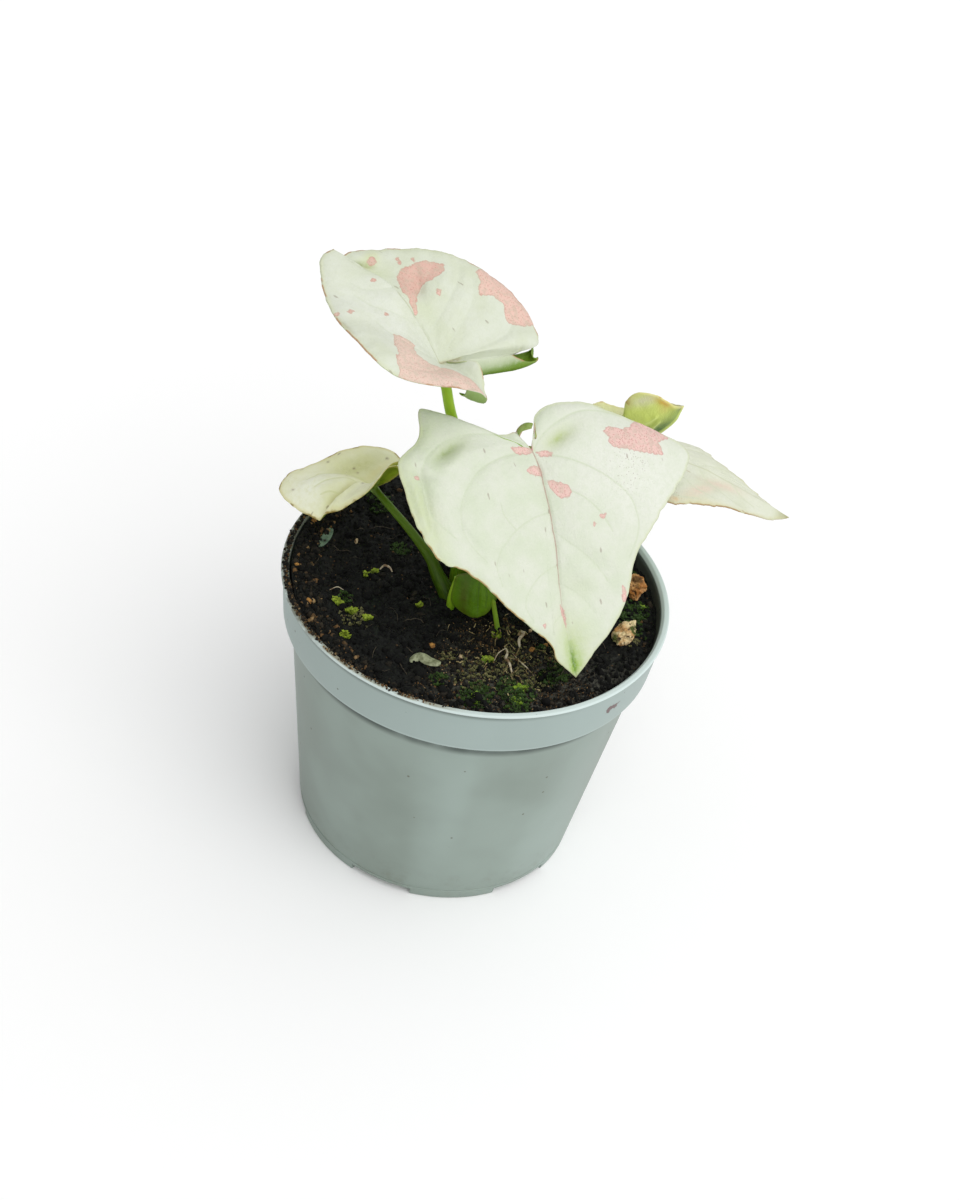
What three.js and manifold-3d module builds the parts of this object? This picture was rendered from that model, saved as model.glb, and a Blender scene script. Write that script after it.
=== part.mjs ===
import * as THREE from 'three';
import { mergeVertices } from 'three/addons/utils/BufferGeometryUtils.js';
import Module from 'manifold-3d';

// A young arrowhead plant in its 7 cm nursery pot, in millimetres.
// +Z is up, and the origin is the middle of the pot's flat base. -Y is the plant's front.

// ---------- driving dimensions ----------

const FIT_GAP = 0.3;               // clearance left between pieces that touch

const POT_HEIGHT = 56;
const RIM_RADIUS = 35;
const RIM_LIP = 1.4;               // width of the flat ring on top of the rim
const RIM_ROUND = 0.3;
const RIM_BEAD_HEIGHT = 1.3;
const RIM_BEAD_DEPTH = 0.2;        // how far the bead stands out from the collar
const COLLAR_HEIGHT = 9.2;
const COLLAR_FOOT_RADIUS = 33.9;
const BODY_TOP_RADIUS = 32.4;
const BASE_RADIUS = 26.9;
const WALL = 0.95;
const COLLAR_WALL = 1.2;
const INNER_STEP = { above: 1.6, below: 0.4 };   // the collar's step on the inside, from the collar's foot
const FLOOR = 1;
const BASE_CHAMFER = 0.5;
const LEDGE_TOP = 2.6;             // the raised ring inside the base that the drain holes go through
const LEDGE_INNER_RADIUS = 19.8;
const LEDGE_SLOPE = 0.5;
const LEDGE_CORNER = { width: 0.4, height: 1.2 };  // where the wall meets the raised ring
const DRAIN_COUNT = 6;
const NOTCH_WIDTH = 12;
const NOTCH_HEIGHT = 1.6;
const NOTCH_INNER_RADIUS = 21.6;
const DRAIN_HOLE_RADIUS = 1.7;
const DRAIN_CIRCLE_RADIUS = 23.6;
const FIRST_NOTCH_ANGLE = THREE.MathUtils.degToRad(-105);
const CUT_MARGIN = 1;              // how far the cutting shapes reach past the faces that they cut
const POT_SEGMENTS = 60;
const HOLE_SEGMENTS = 16;
const NOTCH_SEGMENTS = 6;

const SOIL_LEVEL = 53;
const SOIL_EDGE_RADIUS = RIM_RADIUS - 2.4;
const SOIL_ROUGHNESS = 0.35;
const SOIL_SLOPE = 0.1;
const SOIL_RINGS = 7;
const SOIL_SEGMENTS = 48;

const CROWN = { x: 0.4, y: -2.8, foot: 41, radius: 2.6 };
const CROWN_PROFILE = [            // radius and height
  [0, CROWN.foot], [2.2, CROWN.foot], [CROWN.radius, 43], [CROWN.radius, 56], [1.95, 61], [0.9, 63.5], [0, 64],
];
const CROWN_SEGMENTS = 20;

const BLADE_THICKNESS = 0.5;
const BLADE_ROWS = 5;
const BLADE_COLUMNS = 16;          // along each half of the leaf's margin
const STALK_SIDES = 10;
const STALK_STEPS = 14;

// Each leaf grows from its base, where the stalk meets the blade. Its midrib runs from there to the
// tip. The two edges run from the notch between the back lobes to the tip, left and right as seen
// from above by someone looking towards the tip. Bulge lifts the blade between base and margin, as a
// share of the distance between them. The stalk's points lead up to the base from the soil, and the
// stalk ends one stalkGap short of the blade, more where the blade lies aslant to it.
const LEAVES = {
  front_leaf: {
    base: [4.6, -2, 87],
    midrib: [[6.9, -4.3, 84.7], [10.8, -10.6, 78.3], [14.7, -18, 69]],
    tip: [19.6, -23.1, 58.1],
    leftEdge: [
      [4.8, 0, 88.2], [3.8, 2.3, 90], [4.2, 3.6, 90.7], [5.9, 5.5, 91.4], [9.1, 7.5, 91.6],
      [13.1, 9, 91.1], [17.8, 9.6, 89.8], [25, 10.5, 87.5], [29.8, 10.8, 85.6], [31.3, 10.5, 84.7],
      [31.9, 9.1, 83.5], [31.3, 6.5, 82.1], [28.6, 0, 78.6], [25.9, -6.8, 74.2], [25.5, -8.7, 72.5],
      [25.5, -12.8, 68], [24.5, -15.4, 65.5], [23.1, -17.9, 63.2],
    ],
    rightEdge: [
      [15.6, -23.7, 61.9], [15, -23.2, 63.2], [13.5, -23.2, 64.7], [5.5, -24.3, 71.3],
      [1.6, -24.3, 74.7], [-3.4, -25.3, 77.9], [-5.2, -26.2, 78.7], [-8.4, -25.7, 81.4],
      [-9.9, -24.9, 82.9], [-12.2, -22.9, 85.7], [-14.4, -20.3, 88.3], [-15.3, -19, 89.5],
      [-15.7, -17.4, 90.5], [-13.8, -12.6, 91.6], [-13.6, -10.7, 92.4], [-14.2, -9, 93.5],
      [-14.3, -7.4, 94.3], [-11.7, -6, 93.5], [-9, -5.1, 92.6], [-2.9, -3.8, 90], [0.1, -2.2, 89.2],
      [1.3, -0.8, 89.2], [3.5, -1.8, 87.7],
    ],
    bulge: 0.035,
    stalk: [[4.2, -0.4], [5.2, 2.6, 66], [5, 3, 76], [4, 0.6, 83]],
    stalkRadii: [1.1, 0.75],
    stalkGap: 0.38,
  },
  top_leaf: {
    base: [-12.6, -4, 101.1],
    midrib: [[-15.6, -2.6, 105], [-20, -1, 110.2], [-25.9, 0.8, 112.2]],
    tip: [-32.4, 2, 114.4],
    leftEdge: [
      [-11.2, -4.4, 101.9], [-6.8, -5.3, 103.6], [-5.6, -6.6, 102.8], [-4.6, -9, 101.3],
      [-4, -11, 101.1], [-5.5, -12.2, 102.4], [-8.9, -14, 104], [-11.8, -15.8, 104.7],
      [-17.4, -18.3, 106.5], [-19.6, -18.4, 107.5], [-21.4, -18, 108.5], [-25.5, -14.8, 109.7],
      [-29.2, -11, 110.2], [-32.1, -6.3, 111.7], [-33.5, -2.5, 113.2], [-33.8, -0.8, 113.8],
      [-33.3, 0.8, 114.2],
    ],
    rightEdge: [
      [-31.2, 3.2, 112.8], [-29.8, 5, 113], [-27.1, 7.3, 112.6], [-23.9, 9, 112.6],
      [-20.6, 10.3, 112.8], [-16.5, 11.6, 112.5], [-12.6, 12.4, 111.5], [-7.2, 12.9, 109],
      [-4.3, 12.4, 107.6], [-1.3, 11.2, 105.8], [0.7, 9.2, 104.2], [2.3, 6.5, 102.9],
      [2, 5.4, 102.3], [-3.2, 2, 101.2], [-9.9, -2.4, 101.1],
    ],
    bulge: 0.09,
    stalk: [[-3.2, 0.2], [-4.4, 1.6, 66], [-6.2, 1.4, 80], [-9.2, -2.8, 92], [-11.4, -3.8, 98]],
    stalkRadii: [1.1, 0.75],
    stalkGap: 0.45,
  },
  left_leaf: {
    base: [-21.4, 8, 65.5],
    midrib: [[-24.6, 6, 67.6], [-27.6, 2, 66.4], [-28.1, 0, 65.7]],
    tip: [-29.1, -3, 64.6],
    leftEdge: [
      [-20.4, 8.2, 66.3], [-18.6, 8, 68.2], [-17.1, 7.5, 70.7], [-17.8, 6.5, 72.4],
      [-19.4, 4.6, 72.9], [-20.7, 3.1, 70.9], [-22.8, 1.4, 68], [-26, -1, 65.7], [-28.5, -2.5, 65.5],
    ],
    rightEdge: [
      [-32.4, -1.5, 64.2], [-36.1, 1.4, 64.1], [-37.8, 4, 64.2], [-37, 8.3, 64.6],
      [-32.3, 12.6, 65.4], [-30, 14.6, 66.4], [-26, 16.4, 67.7], [-23.7, 16.6, 68.1],
      [-20.9, 16.2, 68.5], [-17.9, 14.6, 68.2], [-19.8, 11.2, 68.5], [-20.6, 9.4, 67.4],
    ],
    bulge: 0,
    stalk: [[-4.9, -3.2], [-7.1, -2.4, 56.6], [-8.8, -1.4, 59.4], [-12.4, 0.6, 62.2], [-17.7, 4.6, 64.2]],
    stalkRadii: [1.3, 0.75],
    stalkGap: 0.8,
  },
  right_leaf: {
    base: [19.4, 15, 80.7],
    midrib: [[27.4, 15.3, 80.1], [35.4, 15.6, 78.5], [43.4, 15.8, 75.7]],
    tip: [52.9, 16.2, 71.3],
    leftEdge: [
      [17.2, 16.4, 80.9], [14.4, 18, 80.6], [11.9, 19, 79], [13.4, 22, 78.4], [17.9, 23.4, 78.4],
      [23.4, 23.2, 78.6], [29.5, 21.8, 79], [35.2, 21.2, 78.6], [38.5, 19.6, 77.6],
      [42.2, 18.6, 76.2], [49.3, 16.8, 72.6],
    ],
    rightEdge: [
      [50.1, 14.5, 71.3], [39.5, 9.5, 75.4], [34.8, 7.4, 76.3], [30.1, 5.4, 76.8],
      [22.4, 4.5, 77.4], [16.9, 4.5, 77.8], [13.4, 7, 78.7], [12.9, 10, 79.6], [16.4, 12.6, 80.7],
    ],
    bulge: 0.03,
    stalk: [[2.2, 1.9], [5.5, 5.5, 61], [11.5, 10.5, 71.5], [17, 14, 77.8]],
    stalkRadii: [1, 0.7],
    stalkGap: 1.15,
  },
  back_leaf: {
    base: [17.9, 28, 73.1],
    midrib: [[22.4, 28.4, 73.5], [26.8, 28.4, 75.9], [29.1, 27.8, 79.2]],
    tip: [30.2, 27, 83.3],
    leftEdge: [
      [16.7, 29.5, 73.2], [15.1, 31, 74.9], [14.4, 31.5, 76.6], [15.6, 31.8, 77.3],
      [20.7, 32, 77], [23.9, 32, 78.6], [27.3, 30.6, 80.6], [29.2, 28.6, 82.1],
    ],
    rightEdge: [
      [28.7, 25.4, 83.8], [26.8, 24.4, 85.2], [25.2, 23.9, 86.1], [22, 23.5, 86.5],
      [20.5, 23.8, 85.3], [20, 24.4, 83.6], [20.3, 25.6, 80.6], [19.7, 26.6, 77.6],
    ],
    bulge: -0.06,
    stalk: [[-0.4, 2.4], [1.5, 8, 60], [7.5, 17, 67], [13.5, 24.5, 71.2]],
    stalkRadii: [1, 0.65],
    stalkGap: 0.3,
  },
  sheath_leaf: {
    base: [0.4, -5.3, 61.6],
    midrib: [[0.5, -7.1, 60.2], [0.8, -8.2, 57.6]],
    tip: [1.3, -8.8, 54.3],
    leftEdge: [
      [2.2, -6, 61.6], [3.5, -6.6, 60.4], [3.9, -7.4, 58.6], [3.5, -8, 56.6], [2.6, -8.5, 55.2],
    ],
    rightEdge: [
      [-0.4, -8.4, 54.6], [-2.2, -7.4, 55], [-3.4, -6.8, 56.8], [-3.8, -6.5, 59],
      [-3, -6.2, 60.8], [-1.4, -5.9, 61.6],
    ],
    bulge: 0.04,
  },
};

const SHOOT = { points: [[5.4, -9], [5.2, -8.2, 55.4], [4.9, -6.2, 58.6]], radii: [0.65, 0.45] };

const CHIPS = {
  bark_chip_rear: { x: 28.2, y: 8.2, half: [2.1, 2.6, 1.9], turn: 0.5 },
  bark_chip_front: { x: 27.4, y: -5.6, half: [1.8, 2.7, 1.6], turn: -0.4 },
};
const CHIP_LUMPS = 0.16;
const CHIP_DETAIL = 2;
const LITTER_GAP = 1.3 * FIT_GAP;  // beneath loose pieces, whose undersides aren't level with the soil
const FLAKE = { x: -28.2, y: 4.6, length: 5, width: 1.8, thickness: 0.5, turn: 1.9 };

// ---------- materials ----------

const matte = (color, roughness) => new THREE.MeshStandardMaterial({ color, roughness, metalness: 0 });
const potPlastic = matte(0x9fb0ae, 0.55);
const peat = matte(0x241d18, 0.95);
const greenStem = matte(0x6f9a2c, 0.5);
const paleLeaf = matte(0xe3ecd6, 0.5);
const creamLeaf = matte(0xdcd6b2, 0.5);
const greenLeaf = matte(0x3f7a1e, 0.5);
const bark = matte(0xc79a62, 0.85);
const litter = matte(0x8fa89a, 0.7);

// ---------- construction helpers ----------

const wasm = await Module();
wasm.setup();

const plant = new THREE.Group();
const vector = (point) => new THREE.Vector3(...point);

function addPiece(name, geometry, material) {
  const mesh = new THREE.Mesh(geometry, material);
  mesh.name = name;
  plant.add(mesh);
}

function toSolid(geometry) {
  const bare = geometry.clone();
  bare.deleteAttribute('normal');
  bare.deleteAttribute('uv');
  const merged = mergeVertices(bare, 1e-4);
  const corners = [];
  for (let i = 0; i < merged.index.count; i += 3) {
    const [a, b, c] = [0, 1, 2].map((k) => merged.index.getX(i + k));
    if (a !== b && b !== c && c !== a) corners.push(a, b, c);
  }
  return new wasm.Manifold(new wasm.Mesh({
    numProp: 3,
    vertProperties: merged.attributes.position.array,
    triVerts: new Uint32Array(corners),
  }));
}

function fromSolid(solid) {
  const { vertProperties, triVerts } = solid.getMesh();
  return indexedGeometry(vertProperties, triVerts);
}

function indexedGeometry(positions, corners) {
  const geometry = new THREE.BufferGeometry();
  geometry.setAttribute('position', new THREE.BufferAttribute(new Float32Array(positions), 3));
  geometry.setIndex([...corners]);
  geometry.computeVertexNormals();
  return geometry;
}

// A profile of [radius, height] points, from the bottom of the axis round to its top, turned about +Z.
function turned(profile, segments) {
  const points = profile.map(([radius, height]) => new THREE.Vector2(radius, height));
  return new THREE.LatheGeometry(points, segments).rotateX(Math.PI / 2);
}

// Closed rings of vertices joined into one skin, with a pole vertex before the first and after the last.
function skinOfRings(firstPole, rings, lastPole) {
  const sides = rings[0].length;
  const positions = [firstPole, ...rings.flat(), lastPole].flatMap((p) => [p.x, p.y, p.z]);
  const last = 1 + rings.length * sides;
  const at = (ring, side) => 1 + ring * sides + (side % sides);
  const corners = [];
  for (let side = 0; side < sides; side += 1) {
    corners.push(0, at(0, side + 1), at(0, side));
    for (let ring = 0; ring + 1 < rings.length; ring += 1) {
      const [a, b] = [at(ring, side), at(ring, side + 1)];
      const [c, d] = [at(ring + 1, side + 1), at(ring + 1, side)];
      corners.push(a, b, c, a, c, d);
    }
    corners.push(last, at(rings.length - 1, side), at(rings.length - 1, side + 1));
  }
  return indexedGeometry(positions, corners);
}

// A round stalk along a smooth curve, tapering from the first radius to the second.
function stalk(points, [startRadius, endRadius]) {
  const curve = new THREE.CatmullRomCurve3(points, false, 'centripetal');
  const frames = curve.computeFrenetFrames(STALK_STEPS, false);
  const centres = curve.getSpacedPoints(STALK_STEPS);
  const rings = centres.map((centre, step) => {
    const radius = THREE.MathUtils.lerp(startRadius, endRadius, step / STALK_STEPS);
    return Array.from({ length: STALK_SIDES }, (_, side) => {
      const angle = (2 * Math.PI * side) / STALK_SIDES;
      return centre.clone()
        .addScaledVector(frames.normals[step], radius * Math.cos(angle))
        .addScaledVector(frames.binormals[step], radius * Math.sin(angle));
    });
  });
  return skinOfRings(centres[0], rings, centres[STALK_STEPS]);
}

// ---------- leaf blades ----------

// Points on the upper face: each column runs from the base to one point of the margin. It is a
// straight line, bent by the midrib's own arch where it lies near the midrib, and by the bulge elsewhere.
function bladeColumns(leaf) {
  const base = vector(leaf.base);
  const tip = vector(leaf.tip);
  const smooth = (points) => new THREE.CatmullRomCurve3(points, false, 'centripetal');
  const leftMargin = smooth([...leaf.leftEdge.map(vector), tip]).getSpacedPoints(BLADE_COLUMNS);
  const rightMargin = smooth([tip, ...leaf.rightEdge.map(vector)]).getSpacedPoints(BLADE_COLUMNS);
  const margin = [...leftMargin, ...rightMargin.slice(1)];
  const midrib = smooth([base, ...leaf.midrib.map(vector), tip]).getSpacedPoints(BLADE_ROWS);
  const along = tip.clone().sub(base);
  const upward = new THREE.Vector3();
  for (let column = 0; column + 1 < margin.length; column += 1) {
    const here = margin[column].clone().sub(base);
    const next = margin[column + 1].clone().sub(base);
    upward.add(next.cross(here));
  }
  upward.normalize();
  return margin.map((edge) => {
    const reach = edge.clone().sub(base);
    const nearness = Math.max(0, reach.dot(along) / (reach.length() * along.length())) ** 2;
    const points = [];
    for (let row = 1; row <= BLADE_ROWS; row += 1) {
      const share = row / BLADE_ROWS;
      const arch = midrib[row].clone().sub(base).addScaledVector(along, -share);
      const lift = (1 - nearness) * leaf.bulge * reach.length() * 4 * share * (1 - share);
      points.push(base.clone()
        .addScaledVector(reach, share)
        .addScaledVector(arch, nearness * (reach.length() / along.length()))
        .addScaledVector(upward, lift));
    }
    return points;
  });
}

// The upper face, a lower face one thickness beneath it, and a band round the margin and the notch.
function blade(leaf) {
  const columns = bladeColumns(leaf);
  const upper = [vector(leaf.base), ...columns.flat()];
  const count = upper.length;
  const at = (column, row) => 1 + column * BLADE_ROWS + (row - 1);
  const face = [];
  const boundary = [];
  for (let row = 1; row < BLADE_ROWS; row += 1) boundary.push([at(0, row), at(0, row + 1)]);
  for (let column = 0; column + 1 < columns.length; column += 1) {
    face.push(0, at(column + 1, 1), at(column, 1));
    for (let row = 1; row < BLADE_ROWS; row += 1) {
      const [a, b] = [at(column, row), at(column, row + 1)];
      const [c, d] = [at(column + 1, row + 1), at(column + 1, row)];
      face.push(a, d, c, a, c, b);
    }
    boundary.push([at(column, BLADE_ROWS), at(column + 1, BLADE_ROWS)]);
  }
  const lastColumn = columns.length - 1;
  for (let row = BLADE_ROWS; row > 1; row -= 1) {
    boundary.push([at(lastColumn, row), at(lastColumn, row - 1)]);
  }
  boundary.unshift([0, at(0, 1)]);
  boundary.push([at(lastColumn, 1), 0]);

  const skin = indexedGeometry(upper.flatMap((p) => [p.x, p.y, p.z]), face);
  const normals = skin.attributes.normal;
  const lower = upper.map((p, i) => (
    p.clone().addScaledVector(new THREE.Vector3().fromBufferAttribute(normals, i), -BLADE_THICKNESS)));
  const positions = [...upper, ...lower].flatMap((p) => [p.x, p.y, p.z]);
  const corners = [...face];
  for (let i = 0; i < face.length; i += 3) {
    corners.push(face[i] + count, face[i + 2] + count, face[i + 1] + count);
  }
  boundary.forEach(([a, b]) => corners.push(a, b, b + count, a, b + count, a + count));
  return { geometry: indexedGeometry(positions, corners), underside: lower[0] };
}

// ---------- pot ----------

const collarFoot = POT_HEIGHT - COLLAR_HEIGHT;
const innerBodyTop = BODY_TOP_RADIUS - WALL;
const innerBase = BASE_RADIUS - WALL - BASE_CHAMFER;

// The pot's inside, from the rim down to the middle of the floor, grown or shrunk by a margin.
function cavity(margin) {
  return [
    [COLLAR_FOOT_RADIUS - COLLAR_WALL - margin, collarFoot + INNER_STEP.above],
    [innerBodyTop - margin, collarFoot - INNER_STEP.below],
    [innerBase + LEDGE_CORNER.width - margin, LEDGE_TOP + LEDGE_CORNER.height + margin],
    [innerBase - margin, LEDGE_TOP + margin],
    [LEDGE_INNER_RADIUS + LEDGE_SLOPE - margin, LEDGE_TOP + margin],
    [LEDGE_INNER_RADIUS - LEDGE_SLOPE - margin, FLOOR + margin],
    [0, FLOOR + margin],
  ];
}

function pot() {
  const outside = [
    [0, 0],
    [BASE_RADIUS - BASE_CHAMFER, 0],
    [BASE_RADIUS, BASE_CHAMFER],
    [BODY_TOP_RADIUS, collarFoot],
    [COLLAR_FOOT_RADIUS, collarFoot],
    [RIM_RADIUS - RIM_BEAD_DEPTH, POT_HEIGHT - RIM_BEAD_HEIGHT],
    [RIM_RADIUS, POT_HEIGHT - RIM_BEAD_HEIGHT + 2 * RIM_BEAD_DEPTH],
    [RIM_RADIUS, POT_HEIGHT - RIM_ROUND],
    [RIM_RADIUS - RIM_ROUND, POT_HEIGHT],
    [RIM_RADIUS - RIM_LIP, POT_HEIGHT],
    [RIM_RADIUS - RIM_LIP - RIM_ROUND, POT_HEIGHT - RIM_ROUND],
    [RIM_RADIUS - RIM_LIP - 2 * RIM_ROUND, POT_HEIGHT - RIM_BEAD_HEIGHT],
  ];
  let body = toSolid(turned([...outside, ...cavity(0)], POT_SEGMENTS));
  const halfNotch = NOTCH_WIDTH / 2 / BASE_RADIUS;
  const holeLength = 2 * (LEDGE_TOP - NOTCH_HEIGHT + CUT_MARGIN);
  for (let drain = 0; drain < DRAIN_COUNT; drain += 1) {
    const angle = FIRST_NOTCH_ANGLE + (2 * Math.PI * drain) / DRAIN_COUNT;
    const sector = new THREE.Shape();
    sector.absarc(0, 0, BASE_RADIUS + CUT_MARGIN, angle - halfNotch, angle + halfNotch, false);
    sector.absarc(0, 0, NOTCH_INNER_RADIUS, angle + halfNotch, angle - halfNotch, true);
    sector.closePath();
    const notch = new THREE.ExtrudeGeometry(sector, {
      depth: NOTCH_HEIGHT + CUT_MARGIN, bevelEnabled: false, curveSegments: NOTCH_SEGMENTS,
    }).translate(0, 0, -CUT_MARGIN);
    const hole = new THREE.CylinderGeometry(DRAIN_HOLE_RADIUS, DRAIN_HOLE_RADIUS, holeLength, HOLE_SEGMENTS)
      .rotateX(Math.PI / 2)
      .translate(DRAIN_CIRCLE_RADIUS * Math.cos(angle), DRAIN_CIRCLE_RADIUS * Math.sin(angle), LEDGE_TOP);
    body = body.subtract(toSolid(notch)).subtract(toSolid(hole));
  }
  return fromSolid(body);
}

addPiece('pot', pot(), potPlastic);

// ---------- soil ----------

function soilHeight(x, y) {
  const wave = Math.sin(0.31 * x + 0.9) * Math.cos(0.27 * y - 0.4) + 0.6 * Math.sin(0.52 * y + 0.18 * x);
  return SOIL_LEVEL + SOIL_ROUGHNESS * wave;
}

function soil() {
  const ring = (radius, height) => Array.from({ length: SOIL_SEGMENTS }, (_, side) => {
    const angle = (2 * Math.PI * side) / SOIL_SEGMENTS;
    const [x, y] = [radius * Math.cos(angle), radius * Math.sin(angle)];
    return new THREE.Vector3(x, y, height ?? soilHeight(x, y));
  });
  const walls = cavity(FIT_GAP).slice(0, -1).reverse().map(([radius, height]) => ring(radius, height));
  const top = Array.from({ length: SOIL_RINGS }, (_, i) => (
    ring(SOIL_EDGE_RADIUS * (1 - i / SOIL_RINGS))));
  const floor = new THREE.Vector3(0, 0, FLOOR + FIT_GAP);
  const summit = new THREE.Vector3(0, 0, soilHeight(0, 0));
  const filling = toSolid(skinOfRings(floor, [...walls, ...top], summit));
  const holeRadius = CROWN.radius + FIT_GAP;
  const holeDepth = POT_HEIGHT - CROWN.foot;
  const hole = new THREE.CylinderGeometry(holeRadius, holeRadius, holeDepth, CROWN_SEGMENTS)
    .rotateX(Math.PI / 2)
    .translate(CROWN.x, CROWN.y, CROWN.foot - FIT_GAP + holeDepth / 2);
  return fromSolid(filling.subtract(toSolid(hole)));
}

addPiece('potting_soil', soil(), peat);

// ---------- crown, stalks and blades ----------

addPiece('crown_stem', turned(CROWN_PROFILE, CROWN_SEGMENTS).translate(CROWN.x, CROWN.y, 0), greenStem);

const bladeMaterials = {
  front_leaf: paleLeaf,
  top_leaf: paleLeaf,
  left_leaf: creamLeaf,
  right_leaf: creamLeaf,
  back_leaf: greenLeaf,
  sheath_leaf: greenLeaf,
};

// A stalk's points from the soil up. Its slanting foot stands clear of the soil all round.
function stalkWay([[x, y], ...rest], radius) {
  const foot = new THREE.Vector3(x, y, soilHeight(x, y));
  const lean = vector(rest[0]).sub(foot).normalize();
  foot.z += FIT_GAP + radius * (Math.hypot(lean.x, lean.y) + SOIL_SLOPE);
  return [foot, ...rest.map(vector)];
}

for (const [name, leaf] of Object.entries(LEAVES)) {
  const { geometry, underside } = blade(leaf);
  if (leaf.stalk) {
    addPiece(`${name}_blade`, geometry, bladeMaterials[name]);
    const way = stalkWay(leaf.stalk, leaf.stalkRadii[0]);
    const arrival = underside.clone().sub(way.at(-1)).normalize();
    way.push(underside.clone().addScaledVector(arrival, -leaf.stalkGap));
    addPiece(`${name}_petiole`, stalk(way, leaf.stalkRadii), greenStem);
  } else {
    addPiece(name, geometry, bladeMaterials[name]);
  }
}

addPiece('young_shoot', stalk(stalkWay(SHOOT.points, SHOOT.radii[0]), SHOOT.radii), greenStem);

// ---------- loose pieces on the soil ----------

function chip({ x, y, half, turn }) {
  const lump = mergeVertices(new THREE.IcosahedronGeometry(1, CHIP_DETAIL).deleteAttribute('uv').deleteAttribute('normal'));
  const places = lump.attributes.position;
  for (let i = 0; i < places.count; i += 1) {
    const p = new THREE.Vector3().fromBufferAttribute(places, i);
    const swell = 1 + CHIP_LUMPS * Math.sin(3.1 * p.x + 2.3 * p.y + 1) * Math.cos(2.7 * p.z - 1.9 * p.y);
    p.multiplyScalar(swell);
    places.setXYZ(i, p.x * half[0], p.y * half[1], p.z * half[2]);
  }
  lump.rotateZ(turn);
  lump.computeVertexNormals();
  lump.computeBoundingBox();
  return lump.translate(x, y, soilHeight(x, y) + LITTER_GAP - lump.boundingBox.min.z);
}

for (const [name, shape] of Object.entries(CHIPS)) addPiece(name, chip(shape), bark);

const flake = new THREE.BoxGeometry(FLAKE.length, FLAKE.width, FLAKE.thickness)
  .rotateZ(FLAKE.turn)
  .translate(FLAKE.x, FLAKE.y, soilHeight(FLAKE.x, FLAKE.y) + LITTER_GAP + FLAKE.thickness / 2);
addPiece('leaf_litter_flake', flake, litter);

export default plant;
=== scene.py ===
import math

import bmesh
import bpy
import numpy as np
from mathutils import Euler, Matrix, Vector


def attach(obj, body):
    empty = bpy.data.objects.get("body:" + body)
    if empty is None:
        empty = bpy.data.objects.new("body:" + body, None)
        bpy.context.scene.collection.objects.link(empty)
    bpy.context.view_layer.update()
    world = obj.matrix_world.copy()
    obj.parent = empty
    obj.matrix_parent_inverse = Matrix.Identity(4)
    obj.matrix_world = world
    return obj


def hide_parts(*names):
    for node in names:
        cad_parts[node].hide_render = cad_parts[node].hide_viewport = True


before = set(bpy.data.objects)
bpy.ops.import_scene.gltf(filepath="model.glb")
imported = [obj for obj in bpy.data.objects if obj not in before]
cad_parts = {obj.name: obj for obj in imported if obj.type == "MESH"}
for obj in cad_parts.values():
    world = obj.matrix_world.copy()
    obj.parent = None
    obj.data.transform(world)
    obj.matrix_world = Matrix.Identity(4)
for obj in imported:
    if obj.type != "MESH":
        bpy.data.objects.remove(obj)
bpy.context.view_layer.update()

# ---------- pot ----------
# A 7 cm nursery pot, injection moulded in thin grey-green polypropylene. A deep collar stiffens the
# rim. The base stands on six feet, because a notch is cut between each two of them under a drain hole.

# Sizes and places are in millimetres in the part's own frame, and MM turns them into metres.
MM = 0.001
POT_HEIGHT = 56.0
RIM_RADIUS = 35.0
RIM_LIP = 0.95
RIM_ROUND = 0.32
BEAD_HEIGHT = 0.6
BEAD_DEPTH = 0.45
COLLAR_FOOT = 46.8
COLLAR_FOOT_RADIUS = 33.9
COLLAR_WALL = 1.2
BODY_TOP_RADIUS = 32.4
BASE_RADIUS = 26.9
POT_WALL = 0.95
FOOT_LINE = 2.3
FOOT_LINE_DEPTH = 0.14
LEDGE_TOP = 2.6
LEDGE_INNER_RADIUS = 19.8
POT_FLOOR = 1.0
NOTCH_COUNT = 6
NOTCH_HEIGHT = 1.6
NOTCH_INNER_RADIUS = 21.6
NOTCH_WIDTH = 12.0
NOTCH_HALF_ANGLE = NOTCH_WIDTH / 2 / BASE_RADIUS
NOTCH_SIDE_ANGLE = 0.0008
FIRST_NOTCH = math.radians(-105)
DRAIN_HOLE_RADIUS = 1.7
DRAIN_CIRCLE_RADIUS = 23.6
POT_SIDES = 360
DRILL_SIDES = 40
DRILL_DEPTH = 2.0
SHARP_ANGLE = math.radians(38)
ARC_STEPS = 5


class Value:
    """A shader socket that Python's operators work on: each operator adds one Math node."""

    def __init__(self, finish, socket):
        self.finish = finish
        self.socket = socket

    def __add__(self, other):
        return self.finish.maths("ADD", self, other)

    def __radd__(self, other):
        return self.finish.maths("ADD", other, self)

    def __sub__(self, other):
        return self.finish.maths("SUBTRACT", self, other)

    def __rsub__(self, other):
        return self.finish.maths("SUBTRACT", other, self)

    def __mul__(self, other):
        return self.finish.maths("MULTIPLY", self, other)


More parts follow.
